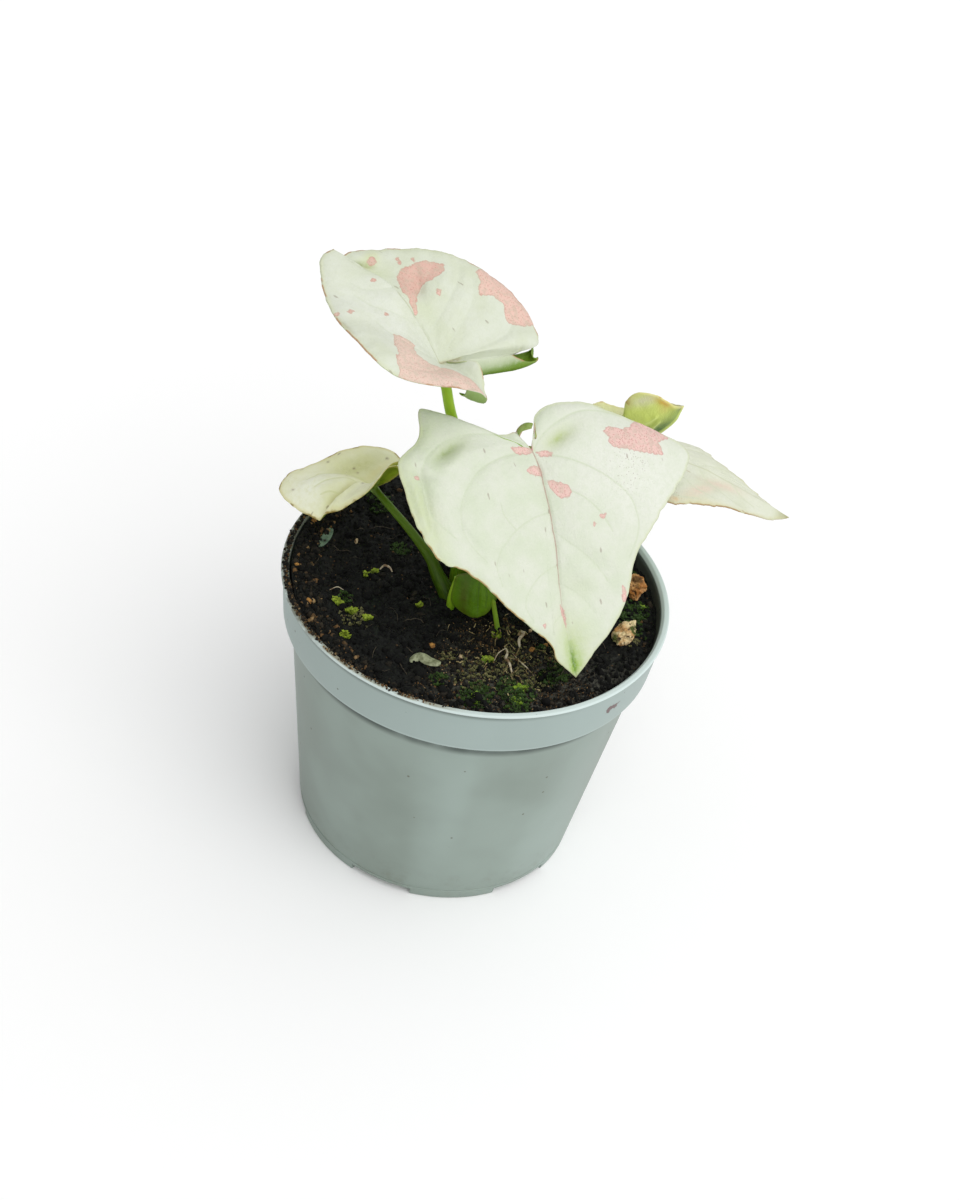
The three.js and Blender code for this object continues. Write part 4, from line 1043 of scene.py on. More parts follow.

# ---------- leaf blades ----------
# Thin arrowhead blades with a sunken midrib, arched side veins and the skin puffed up between them.
# The upper skin is nearly white with pink patches, and the under skin is green. Some lobes are curled.

# Base, midrib, tip, left, right and the ends of a curl are places in the part's frame. The rest lies on
# the leaf rolled out flat, with the base at (0, 0) and the tip on +X. An oval is (x, y, half its length,
# half its width, its turn in degrees). A hollow is an oval and its depth, a wash is an oval, its strength
# and its colour, and dotted is (x, y, radius). Some washes are painted shade in dents, folds and valleys;
# each is marked where it stands.

PLAIN_LEAF = {
    "thickness": 0.34, "ragged": 0.16, "groove": 0.11, "patches": [], "hollows": [], "under_washed": 0,
    "curls": [],
}
PLAIN_CURL = {"notch": (0, 1), "lean": 0.0, "ramp": 0.45, "swing": (0, 0, 0), "sweep": (0, 0, 0)}
LEAVES = {
    "front_leaf": {
        "base": (4.6, -2, 87),
        "midrib": [(6.9, -4.3, 84.7), (10.8, -10.6, 78.3), (14.7, -18, 69)],
        "tip": (19.6, -23.1, 58.1),
        "left": [
            (4.8, 0, 88.2), (3.8, 2.3, 90), (4.2, 3.6, 90.7), (5.9, 5.5, 91.4), (9.1, 7.5, 91.6),
            (13.1, 9, 91.1), (17.8, 9.6, 89.8), (25, 10.5, 87.5), (29.8, 10.8, 85.6), (31.3, 10.5, 84.7),
            (31.9, 9.1, 83.5), (31.3, 6.5, 82.1), (28.6, 0, 78.6), (25.9, -6.8, 74.2), (25.5, -8.7, 72.5),
            (25.5, -12.8, 68), (24.5, -15.4, 65.5), (23.1, -17.9, 63.2),
        ],
        "right": [
            (15.6, -23.7, 61.9), (15, -23.2, 63.2), (13.5, -23.2, 64.7), (5.5, -24.3, 71.3),
            (1.6, -24.3, 74.7), (-3.4, -25.3, 77.9), (-5.2, -26.2, 78.7), (-8.4, -25.7, 81.4),
            (-9.9, -24.9, 82.9), (-12.2, -22.9, 85.7), (-14.4, -20.3, 88.3), (-15.3, -19, 89.5),
            (-15.7, -17.4, 90.5), (-13.8, -12.6, 91.6), (-13.6, -10.7, 92.4), (-14.2, -9, 93.5),
            (-14.3, -7.4, 94.3), (-11.7, -6, 93.5), (-9, -5.1, 92.6), (-2.9, -3.8, 90), (0.1, -2.2, 89.2),
            (1.3, -0.8, 89.2), (2.0, -1.4, 88.4), (3.5, -1.9, 87.6),
        ],
        "bulge": 0.035, "columns": 170, "rows": 96, "thickness": 0.38, "slot": "pale_leaf",
        "node": "front_leaf_blade", "quilt": 0.36, "groove": 0.15,
        "rib": [(0, 0), (39, 0)],
        "veins": [
            [
                (0.2, -0.5), (0.3, -5.5), (0.8, -8.7), (1.8, -11.9), (3.7, -14.6), (6, -16.7), (9, -17.9),
                (12.6, -17.4), (16.5, -14.6),
            ],
            [
                (-0.4, -0.4), (-2.5, -2.6), (-3.6, -6.8), (-4.4, -11.1), (-4.2, -15.6), (-3.2, -18.7),
                (-0.9, -21.8), (2.7, -22.9), (8, -22.6), (12, -19.5),
            ],
            [(10.9, 0), (11.1, -3.1), (11.8, -5.5), (13, -8.1), (15, -10.9), (17.5, -12.8), (21, -12.6)],
            [(7.8, -9.4), (9.7, -9.2), (12.4, -7.4)],
            [(19.6, 0), (20.4, -3.4), (22.3, -6.6), (24.8, -8.6), (28, -7.6)],
            [(27.5, 0), (28.6, -2.4), (30.6, -4)],
            [(0.2, 0.4), (-1.4, 1.7), (-3, 4), (-4.2, 6.7), (-5, 10.2), (-4.6, 14), (-3, 18)],
            [
                (0.6, 0.5), (1.8, 3.9), (3.4, 7.2), (5.6, 10.5), (8.2, 13.4), (10.9, 15.6), (13.8, 16.4),
                (17.5, 15.4), (21, 13),
            ],
            [(13.9, 0), (15.7, 1.8), (17.2, 3.6), (18.9, 5.4), (21, 7.1), (24, 8.6)],
            [(22.6, 0), (24.1, 2.2), (26, 3.9), (28.6, 5.2)],
            [(6, 0.1), (7.4, 3.6), (9.6, 7), (12.4, 9.4), (16, 11)],
        ],
        "patches": [
            [
                (-0.7, 13.4), (-1.4, 14.4), (-0.4, 16.8), (-0.6, 18.7), (-1.5, 19.7), (-1.6, 21.9),
                (0.2, 23.6), (2.1, 25.9), (2.7, 23), (5, 23.3), (4.4, 21), (3, 16.8), (2.2, 14.2),
                (1, 13.7), (0.5, 14),
            ],
            [(-0.8, -4.3), (-0.7, -2.6), (-0.2, -0.3), (0.6, -0.2), (0.6, -1.7), (0.3, -3.5)],
            [(0.7, 0.6), (0.7, 2.3), (1.2, 3.4), (1.7, 2.8), (1.5, 1)],
            [(3.4, -3.2), (2.9, -1.7), (3.1, 0), (4.7, 0), (4.4, -1.6)],
            [
                (5.7, 0.6), (5.9, 1.8), (6.6, 3.2), (7.1, 4.3), (8.3, 4.8), (9, 3.7), (8.8, 2.4), (8, 1.4),
                (6.9, 1.1),
            ],
            [(12.8, 9.3), (13, 10.2), (13.6, 9.9), (13.3, 9.2)],
            [(14, 7.6), (14.2, 8), (14.5, 7.6)],
            [(0.6, -24.2), (0.9, -23.2), (1.4, -23.3), (1.2, -24.1)],
            [(25.2, 10.9), (26.4, 11.2), (28.2, 11.1), (28, 10.5), (26.4, 10.5)],
            [(26.2, -0.5), (27.4, 0.2), (30, 0), (28.6, -0.4)],
            [(28.7, -5.9), (28.6, -5.4), (29.3, -5.5)],
        ],
        "hollows": [
            (-1.2, 5.2, 3.2, 1.5, 112, 1.0), (-2.5, -16.3, 3.4, 1.1, 112, 0.9),
            (24.5, 4.5, 4.0, 1.8, 60, 0.35), (5.5, -23.1, 7.0, 0.6, -4, 0.6),
            (6.5, -20.6, 6.0, 1.3, 8, -0.5), (0.6, -22.4, 2.5, 0.9, 60, 0.35),
            (4.5, -24.8, 6.5, 0.6, 0, -0.35), (0.0, -17.0, 2.4, 1.3, 120, -0.45),
            (9.4, -17.6, 2.6, 1.1, 20, -0.35), (12.8, -16.4, 3.0, 0.5, 30, 0.3),
            (15.5, -8.5, 5.0, 0.9, 50, -0.25), (19.0, 8.0, 4.0, 1.0, 40, -0.25),
            (13.5, 16.5, 3.5, 1.5, 40, 0.3),
        ],
        "washes": [
            (7.0, 17.0, 14.0, 9.0, 60, 0.8, (218, 220, 210)),
            (6.0, -24.8, 9.5, 2.4, 10, 0.6, (185, 197, 144)),
            (-6.0, -19.5, 4.0, 1.8, -60, 0.4, (189, 199, 157)),
            # Painted shade: these four washes darken the dents at (-1.2, 5.2) and (-2.5, -16.3) in green.
            (-1.2, 5.2, 3.6, 1.5, 112, 0.5, (176, 189, 130)),
            (-1.2, 5.4, 1.6, 0.6, 112, 0.6, (161, 178, 104)),
            (-2.5, -16.2, 4.4, 1.8, 112, 0.5, (183, 195, 149)),
            (-2.5, -16.4, 2.5, 0.6, 112, 0.6, (146, 163, 102)),
            (23.7, 3.2, 3.2, 1.8, 60, 0.4, (191, 201, 170)),
            (33.8, 0.0, 5.6, 3.4, 0, 0.55, (180, 195, 132)), (36.6, 0.0, 3.2, 1.4, 0, 0.9, (136, 170, 30)),
            (36.2, 0.0, 2.6, 0.35, 0, 0.9, (78, 118, 8)), (39.3, 0.0, 0.8, 0.8, 0, 0.9, (106, 91, 51)),
        ],
        "dotted": (6.2, 16.4, 6.4),
        "curls": [
            {
                "from": (1.3, -0.9, 89.2), "to": (2.3, -1.4, 88.4), "radius": 1.35, "length": 3.0,
                "taper": 0.8, "torn": 0.1, "facing": (-1, 0.1, 0.1), "green": 3.0, "ramp": 0.2,
                "swing": (1.4, 4.0, 4.8), "sweep": (0.2, 0.7, 0.85),
            },
        ],
    },
    "top_leaf": {
        "base": (-12.6, -4, 101.1),
        "midrib": [(-15.6, -2.6, 105), (-20, -1, 110.2), (-25.9, 0.8, 112.2)],
        "tip": (-32.4, 2, 114.4),
        "left": [
            (-11.2, -4.3, 102.1), (-6.8, -5.2, 103.8), (-5.6, -6.6, 102.9), (-4.6, -9, 101.3),
            (-4, -11, 101.1), (-5.5, -12.2, 102.4), (-8.9, -14, 104), (-11.8, -15.8, 104.7),
            (-17.4, -18.3, 106.5), (-19.6, -18.4, 107.5), (-21.4, -18, 108.5), (-25.5, -14.8, 109.7),
            (-29.2, -11, 110.2), (-32.1, -6.3, 111.7), (-33.5, -2.5, 113.2), (-33.8, -0.8, 113.8),
            (-33.3, 0.8, 114.2),
        ],
        "right": [
            (-31.2, 3.2, 112.8), (-29.8, 5, 113), (-27.1, 7.3, 112.6), (-23.9, 9, 112.6),
            (-20.6, 10.3, 112.8), (-16.5, 11.6, 112.5), (-12.6, 12.4, 111.5), (-7.2, 12.9, 109),
            (-4.3, 12.4, 107.6), (-1.3, 11.2, 105.8), (0.7, 9.2, 104.2), (2.3, 6.5, 102.9),
            (2, 5.4, 102.3), (-3.2, 2, 101.2), (-9.9, -2.4, 101.1),
        ],
        "bulge": 0.09, "columns": 150, "rows": 80, "thickness": 0.36, "ragged": 0.14, "slot": "pale_leaf",
        "node": "top_leaf_blade", "quilt": 0.28,
        "rib": [
            (0, 0), (3.4, -0.3), (6.2, -0.5), (8.6, 0.1), (12.4, 0.2), (14.5, -1), (17, -1.3), (19.5, 0.2),
            (25, 0),
        ],
        "veins": [
            [(0.2, 0), (0.8, -2.1), (1.4, -5.3), (2.1, -8.6), (3.2, -12), (5.4, -14.6)],
            [(-0.2, -0.7), (-1.9, -3.6), (-3.4, -6.6), (-4.8, -10.7), (-4.4, -14)],
            [(0.9, 0.4), (2.4, 3.6), (4.8, 6.2), (8.2, 7.6), (11.9, 7.4)],
            [(6.2, -0.4), (8.8, 2.2), (11.4, 4), (13.9, 5.3), (17, 5.6)],
            [(8.6, 0), (10, -3.7), (10.9, -7.7), (11.6, -11.3), (13.4, -13)],
            [(4.6, -0.4), (5.4, -5.2), (6.2, -9.2), (7.4, -13.4), (9, -15.4)],
            [(13.6, -0.4), (15, 2.2), (16.8, 3.8), (19, 4.2)],
            [(0, 0.6), (-0.8, 4.4), (-0.4, 8.6), (1.6, 11.6)],
        ],
        "patches": [
            [
                (14.7, -5.1), (14.8, -6.6), (14.1, -8.5), (13.3, -10.8), (11.8, -12.1), (10.5, -12.7),
                (9.7, -11.8), (9.9, -10.1), (10.4, -8.3), (10.9, -6.6), (10.6, -4.9), (10.2, -3.4),
                (9.6, -2), (8.4, -1), (8.5, -0.3), (9.6, -0.5), (11, -1.4), (12.2, -1.6), (13.3, -2.6),
                (14.4, -4),
            ],
            [
                (5.9, -16.1), (5.6, -18.1), (5, -19.6), (3, -20), (0.8, -20), (-1.4, -20), (-3.6, -19.9),
                (-5.4, -19.4), (-7, -17.6), (-6.1, -15.3), (-4.8, -14), (-3.8, -13.2), (-2.8, -13.4),
                (-1.9, -14.5), (-1.1, -15.3), (-0.2, -15), (1, -14.9), (1.8, -14.1), (2.8, -13.1),
                (3.5, -13.7), (4.1, -15), (5.1, -15.9),
            ],
            [
                (8.2, 7.4), (6.9, 6.6), (6.2, 5.9), (4.8, 5.4), (4.3, 7.2), (3.4, 8.2), (2, 7.3),
                (0.7, 6.2), (-0.9, 4.4), (-2.7, 4.8), (-4.4, 5.4), (-6, 4.6), (-7.5, 4.6), (-9.4, 5.4),
                (-10, 8), (-7.2, 9.6), (-4.3, 12), (-2.2, 13.4), (-0.5, 14.8), (1.4, 16), (2.7, 16.4),
                (3.2, 14.8), (4.4, 14.2), (5.3, 13.1), (5.2, 12.1), (6.7, 10.5),
            ],
            [(18.8, -3.2), (18.4, -4.2), (19.2, -4.9), (19.8, -4.2), (19.5, -3.2)],
            [(16.1, -8), (16.5, -8.6), (16.6, -8), (16.3, -7.8)],
            [(15.5, -7.2), (15.9, -7.9), (16, -7.2)],
            [(14.2, -9.6), (14.7, -10.4), (14.8, -9.7)],
            [(7.5, -6.8), (7.9, -7.8), (8.4, -7.4), (8, -6.6)],
            [(16.4, 1.2), (16.9, 1.3), (16.8, 1.8), (16.4, 1.6)],
            [(11.2, 4.8), (11.6, 4.8), (11.5, 5.2)],
            [(16.2, 10.8), (16.6, 10.6), (17, 11.4), (16.4, 11.6)],
            [(15, 9), (15.5, 9.2), (15.5, 9.9), (15.1, 9.8)],
        ],
        "hollows": [
            (19.4, -2.6, 1.2, 0.7, 20, 0.6), (11.2, -5.8, 3.0, 0.9, -50, 0.8), (16, 9.5, 2.0, 1.6, 0, -0.3),
            (4, -15.5, 2.6, 2.2, 0, -0.4), (-5.2, -5.0, 5.0, 1.4, 60, 0.4),
        ],
        "washes": [
            (10.0, 6.0, 15.0, 5.5, 0, 0.6, (214, 217, 207)),
            # Painted shade: these two washes darken the fold near the tip, an olive band and a dark spot in
            # its hollow.
            (17.6, -1.2, 3.4, 1.0, 60, 0.4, (184, 195, 152)),
            (19.6, -2.4, 1.3, 0.5, 30, 0.85, (105, 120, 58)),
            (-6.4, -6.5, 5.0, 1.5, 62, 0.5, (193, 202, 172)),
            (9.0, -2.6, 7.0, 1.6, 10, 0.35, (191, 201, 167)),
            # Painted shade: a dark red-brown line along the crease of the hollow at (11.2, -5.8).
            (11.4, -5.6, 2.0, 0.35, -50, 0.6, (165, 112, 103)),
            (-7.4, 2.6, 2.0, 1.0, 50, 0.4, (193, 201, 174)),
            (14.6, 12.6, 2.2, 0.35, 150, 0.6, (150, 142, 112)),
            (19.4, -4.4, 3.2, 1.2, 100, 0.5, (198, 206, 140)),
        ],
        "dotted": (0.5, -3, 0.8),
        "curls": [
            {
                "from": (2.3, 6.2, 102.8), "to": (-9.9, -2.4, 101.1), "radius": 2.1, "length": 8.1,
                "taper": 0.3, "notch": (6.0, 0.5), "torn": 0.25, "facing": (0.25, 0.35, 0.9), "lean": 0.7,
                "green": 1.7, "sweep": (3.4, 1.3, 0.2),
            },
            {
                "from": (-7.1, -13.1, 103.1), "to": (-4.1, -10.4, 101.1), "radius": 1.1, "length": 2.9,
                "taper": 0.5, "torn": 0.3, "facing": (0.1, -0.3, 0.95), "lean": 0.5, "green": 3.2,
                "ramp": 0.12, "sweep": (-1.0, 0.1, -0.3),
            },
        ],
    },
    "left_leaf": {
        "base": (-21.4, 8, 65.5),
        "midrib": [(-24.6, 6, 67.6), (-27.6, 2, 66.4), (-28.1, 0, 65.7)],
        "tip": (-29.1, -3, 64.6),
        "left": [
            (-20.4, 8.2, 66.3), (-18.6, 8, 68.2), (-17.1, 7.5, 70.7), (-17.8, 6.5, 72.4),
            (-19.4, 4.6, 72.9), (-20.7, 3.1, 70.9), (-22.8, 1.4, 68), (-26, -1, 65.7), (-28.5, -2.5, 65.5),
        ],
        "right": [
            (-32.4, -1.5, 64.2), (-36.1, 1.4, 64.1), (-37.8, 4, 64.2), (-37, 8.3, 64.6),
            (-32.3, 12.6, 65.4), (-30, 14.6, 66.4), (-26, 16.4, 67.7), (-23.7, 16.6, 68.1),
            (-20.9, 16.2, 68.5), (-17.9, 14.6, 68.2), (-19.8, 11.2, 68.5), (-20.6, 9.4, 67.4),
        ],
        "bulge": 0.0, "columns": 110, "rows": 52, "slot": "cream_leaf",
        "node": "left_leaf_blade", "quilt": 0.2,
        "rib": [(0, 0), (14, 0)],
        "veins": [
            [(0.2, -0.4), (0.4, -3.4), (1.8, -6.4), (4.8, -8.2), (8.4, -7.6)],
            [(3.4, 0), (4.8, -2.2), (6.8, -3.8), (9.2, -4.2)],
            [(0.2, 0.4), (0.8, 3), (2.6, 4.6), (5, 4.8)],
            [(7, 0), (8.2, -1.4), (9.8, -2.2)],
        ],
        "hollows": [
            (7.5, -0.1, 4.6, 0.9, 0, 0.8), (7.0, 2.4, 4.2, 1.1, -18, -0.6), (9.5, -5.0, 4.0, 3.0, 0, -0.5),
            (-1.0, -6.4, 5.0, 1.6, 145, 0.7),
        ],
        "washes": [
            (9.6, -5.5, 5.6, 4.0, 0, 0.9, (250, 252, 234)),
            # Painted shade: an olive band along the far wall of the cup.
            (-1.2, -5.6, 5.4, 2.4, 145, 0.85, (202, 204, 140)),
            (-3.0, -9.2, 6.0, 1.5, 160, 0.6, (230, 230, 182)),
            (6.6, 2.0, 4.6, 1.4, -18, 0.85, (246, 247, 212)),
            # Painted shade: the first wash on the next line darkens the valley beside the near lobe.
            (7.6, -0.2, 4.0, 0.5, 0, 0.7, (196, 192, 128)), (-2.6, -1.9, 3.0, 0.9, 0, 0.6, (220, 214, 152)),
            (1.6, -10.2, 0.24, 0.24, 0, 0.9, (104, 78, 48)),
            (-0.7, -5.9, 0.26, 0.26, 0, 0.9, (104, 78, 48)), (-0.3, -4.5, 0.2, 0.2, 0, 0.7, (130, 100, 60)),
            (-6.1, -2.8, 0.26, 0.26, 0, 0.9, (96, 70, 44)), (11.8, -8.1, 0.26, 0.26, 0, 0.8, (120, 90, 56)),
            (2.7, 0.6, 0.3, 0.2, 0, 0.8, (120, 96, 60)),
        ],
        "dotted": (1, -6, 1.2),
    },
    "right_leaf": {
        "base": (19.4, 15, 80.7),
        "midrib": [(27.4, 15.3, 80.1), (35.4, 15.6, 78.5), (43.4, 15.8, 75.7)],
        "tip": (52.9, 16.2, 71.3),
        "left": [
            (17.2, 16.4, 80.9), (14.4, 18, 80.6), (11.9, 19, 79), (13.4, 22, 78.4), (17.9, 23.4, 78.4),
            (23.4, 23.2, 78.6), (29.5, 21.8, 79), (35.2, 21.2, 78.6), (38.5, 19.6, 77.6),
            (42.2, 18.6, 76.2), (49.3, 16.8, 72.6),
        ],
        "right": [
            (50.1, 14.5, 71.3), (39.5, 9.5, 75.4), (34.8, 7.4, 76.3), (30.1, 5.4, 76.8), (22.4, 4.5, 77.4),
            (16.9, 4.5, 77.8), (13.4, 7, 78.7), (12.9, 10, 79.6), (16.4, 12.6, 80.7),
        ],
        "bulge": 0.03, "columns": 170, "rows": 70, "ragged": 0.42, "slot": "cream_leaf",
        "node": "right_leaf_blade", "quilt": 0.14, "groove": 0.04,
        "rib": [(0, 0), (35, 0)],
        "veins": [
            [(0.4, -0.4), (2.6, -4), (6.6, -7.2), (11.6, -8.2), (16, -7.2)],
            [(8, 0), (10.6, -2.8), (14.4, -5), (19, -5.6)],
            [(15, 0), (17.6, -2), (21, -3.4), (25, -3.6)],
            [(22, 0), (24.4, -1.4), (27.4, -2)],
            [(0.4, 0.4), (2.6, 3.6), (6.6, 6), (11.6, 6.6)],
            [(8, 0), (10.6, 2.4), (14.4, 4), (19, 4.4)],
            [(15, 0), (17.6, 1.6), (21, 2.8), (25, 2.8)],
        ],
        "hollows": [(18.0, -1.0, 7.0, 1.2, 8, 0.3)],
        "washes": [
            (33.6, 0.0, 1.8, 1.2, 0, 0.5, (179, 182, 132)),
            (16.0, -5.2, 3.6, 1.0, 40, 0.6, (220, 192, 176)),
            (20.4, -1.4, 4.0, 0.8, 12, 0.55, (220, 192, 178)),
            (11.5, -9.2, 0.9, 0.5, 20, 0.8, (209, 165, 113)),
            (18.5, -7.2, 8.0, 1.0, 16, 0.5, (201, 194, 150)),
            (34.4, 0.0, 1.5, 0.9, 0, 0.95, (128, 124, 88)),
        ],
        "dotted": (12, -8.2, 1.8),
    },
    "back_leaf": {
        "base": (17.9, 28, 73.1),
        "midrib": [(22.4, 28.4, 73.5), (26.8, 28.4, 75.9), (29.1, 27.8, 79.2)],
        "tip": (30.2, 27, 83.3),
        "left": [
            (16.7, 29.5, 73.2), (15.1, 31, 74.9), (14.4, 31.5, 76.6), (15.6, 31.8, 77.3), (20.7, 32, 77),
            (23.9, 32, 78.6), (27.3, 30.6, 80.6), (29.2, 28.6, 82.1),
        ],
        "right": [
            (28.7, 25.4, 83.8), (26.8, 24.4, 85.2), (25.2, 23.9, 86.1), (22, 23.5, 86.5),
            (20.5, 23.8, 85.3), (20, 24.4, 83.6), (20.3, 25.6, 80.6), (19.7, 26.6, 77.6),
        ],
        "bulge": -0.06, "columns": 90, "rows": 44, "slot": "green_leaf",
        "node": "back_leaf_blade", "quilt": 0.25,
        "rib": [(0, 0), (17, 0)],
        "veins": [
            [(0.4, -0.3), (3, -2.4), (6.6, -3.8), (10.6, -4)],
            [(5, 0), (7.4, -1.8), (10.4, -2.8)],
            [(0.4, 0.3), (2.6, 2.2), (6, 3.4), (9, 3.6)],
        ],
        "under_washed": 1,
        "washes": [
            # Painted shade: the second wash on the next line is the dark green along the bottom of the
            # cupped blade, on both skins.
            (11.0, -3.4, 4.0, 3.0, 10, 0.6, (216, 230, 124)), (9.0, -1.0, 3.8, 1.5, 0, 0.95, (62, 102, 2)),
            (11.4, -7.4, 3.6, 1.1, 12, 0.95, (232, 230, 190)),
            (14.2, -4.8, 2.0, 0.9, 62, 0.95, (222, 168, 52)),
            (13.1, -4.0, 1.3, 0.9, 30, 0.6, (220, 210, 120)),
            (16.0, -0.3, 1.2, 0.9, 60, 0.95, (84, 78, 50)), (1.2, 5.4, 3.2, 0.9, 160, 0.8, (214, 220, 140)),
        ],
        "dotted": (8, -4, 1),
    },
    "sheath_leaf": {
        "base": (0.4, -5.3, 61.6),
        "midrib": [(0.5, -7.1, 60.2), (0.8, -8.2, 57.6)],
        "tip": (1.3, -8.8, 54.3),
        "left": [(2.2, -6, 61.6), (3.5, -6.6, 60.4), (3.9, -7.4, 58.6), (3.5, -8, 56.6), (2.6, -8.5, 55.2)],
        "right": [
            (0.2, -8.7, 54.1), (-2.6, -7.7, 54.6), (-3.9, -7, 55.4), (-4, -6.5, 58), (-3.6, -6.2, 60.6),
            (-1.4, -5.9, 61.6),
        ],
        "bulge": 0.04, "columns": 60, "rows": 40, "ragged": 0.08, "slot": "green_leaf",
        "node": "sheath_leaf", "quilt": 0.12,
        "rib": [(0, 0), (9, 0)],
        "veins": [[(0.4, -0.2), (3, -1.6), (6, -1.8)], [(0.4, 0.2), (3, 1.4), (6, 1.4)]],
        "hollows": [(4.5, 0.4, 5.0, 1.0, 0, 0.3)],
        "washes": [(4.0, 1.4, 4.0, 1.2, 0, 0.6, (120, 166, 8)), (5.0, -2.6, 5.0, 1.0, 0, 0.7, (84, 86, 16))],
        "dotted": (4, 1, 0.6),
    },
}


FAR = 1e9
NO_PATCH = 9.0
TEETH_SIZE = 1.5
QUIET_COLUMNS = 6
CURL_ROWS = 34
TEAR_SIZE = 1.1
RIB_STEPS = 30
VEIN_STEPS = 22
EDGE_GROUPS = 24
QUILT_REACH = 2.2
QUILT_MARGIN = 1.6
VEIN_GROOVE_WIDTH = 0.32
RIB_GROOVE_WIDTH = 0.34
RIB_GROOVE = 0.24
MARGIN_DROP = 0.22
MARGIN_DROP_WIDTH = 0.7
EASING_ROUNDS = 10
RIB_STIFF_WIDTH = 2.2
RIB_KEEL = 0.55
VEIN_KEEL = 0.16
PUCKER = 0.26
PUCKER_SIZE = 6.5
RIPPLE = 0.04
RIPPLE_SIZE = 1.2


def row_length(vectors):
    """The length of each vector, kept as a column."""
    return np.linalg.norm(vectors, axis=-1, keepdims=True)


def crown_of(points):
    """The fan's mean direction outwards: the sum of its margin triangles' cross products, made unit long."""
    reach = points[-1] - points[0]
    up = np.cross(reach[1:], reach[:-1]).sum(0)
    return up / np.linalg.norm(up)


def leaf_fan(leaf):
    """The bare upper face as rows of points from the base, row 0, out to the margin.

    A point at share r towards a margin point C is base + r (C - base), plus the midrib's own arch where C
    lies near the tip's direction, by cos(angle) squared, and plus a bulge of 4 r (1 - r) elsewhere. Its
    flat place is where it lands when the fan is rolled out flat: r |C - base|, at the angle that the
    fan's rays add up to from the tip.
    """
    columns, rows = leaf["columns"], leaf["rows"]
    base, tip = np.array(leaf["base"], float), np.array(leaf["tip"], float)
    margin = smooth_line([*leaf["left"], leaf["tip"]], columns)
    margin = np.vstack([margin, smooth_line([leaf["tip"], *leaf["right"]], columns)[1:]])
    run = run_along(margin)
    teeth = noise(flat_places(run, run * 0) + len(leaf["left"]), TEETH_SIZE, 3)
    quiet = np.clip(np.abs(np.arange(len(run)) - columns) / QUIET_COLUMNS, 0, 1)
    reach = margin - base
    reach *= 1 + (leaf["ragged"] * teeth * quiet)[:, None] / row_length(reach)
    length = row_length(reach)[:, 0]
    heading = reach / length[:, None]
    bend = np.arccos(np.clip((heading[1:] * heading[:-1]).sum(1), -1, 1))
    angle = np.r_[0, np.cumsum(bend)]
    angle = angle[columns] - angle
    along = tip - base
    span = np.linalg.norm(along)
    near = np.maximum(0, heading @ along / span) ** 2
    up = crown_of(np.stack([np.broadcast_to(base, margin.shape), base + reach]))
    share = np.linspace(0, 1, rows + 1)[:, None]
    arch = smooth_line([leaf["base"], *leaf["midrib"], leaf["tip"]], rows) - base - share * along
    points = base + share[..., None] * reach
    points = points + (near * length / span)[None, :, None] * arch[:, None]
    points = points + ((1 - near) * leaf["bulge"] * length * 4 * share * (1 - share))[..., None] * up
    flat = np.stack([share * length * np.cos(angle), share * length * np.sin(angle)], -1)
    return points, flat


def corner_normals(points, quads):
    """At each point, the cross products of the diagonals of the quads round it, added and made unit long."""
    cross = np.cross(points[quads[:, 2]] - points[quads[:, 0]], points[quads[:, 3]] - points[quads[:, 1]])
    total = np.zeros_like(points)
    for corner in range(4):
        np.add.at(total, quads[:, corner], cross)
    return total / np.maximum(row_length(total), 1e-12)


def eased(normals, quads, rounds):
    """Evens the directions out: in each round a point takes the mean of its own and its neighbours'."""
    for _ in range(rounds):
        total = normals.copy()
        for corner in range(4):
            np.add.at(total, quads[:, corner], normals[quads[:, corner - 1]])
            np.add.at(total, quads[:, corner - 1], normals[quads[:, corner]])
        normals = total / np.maximum(row_length(total), 1e-12)
    return normals


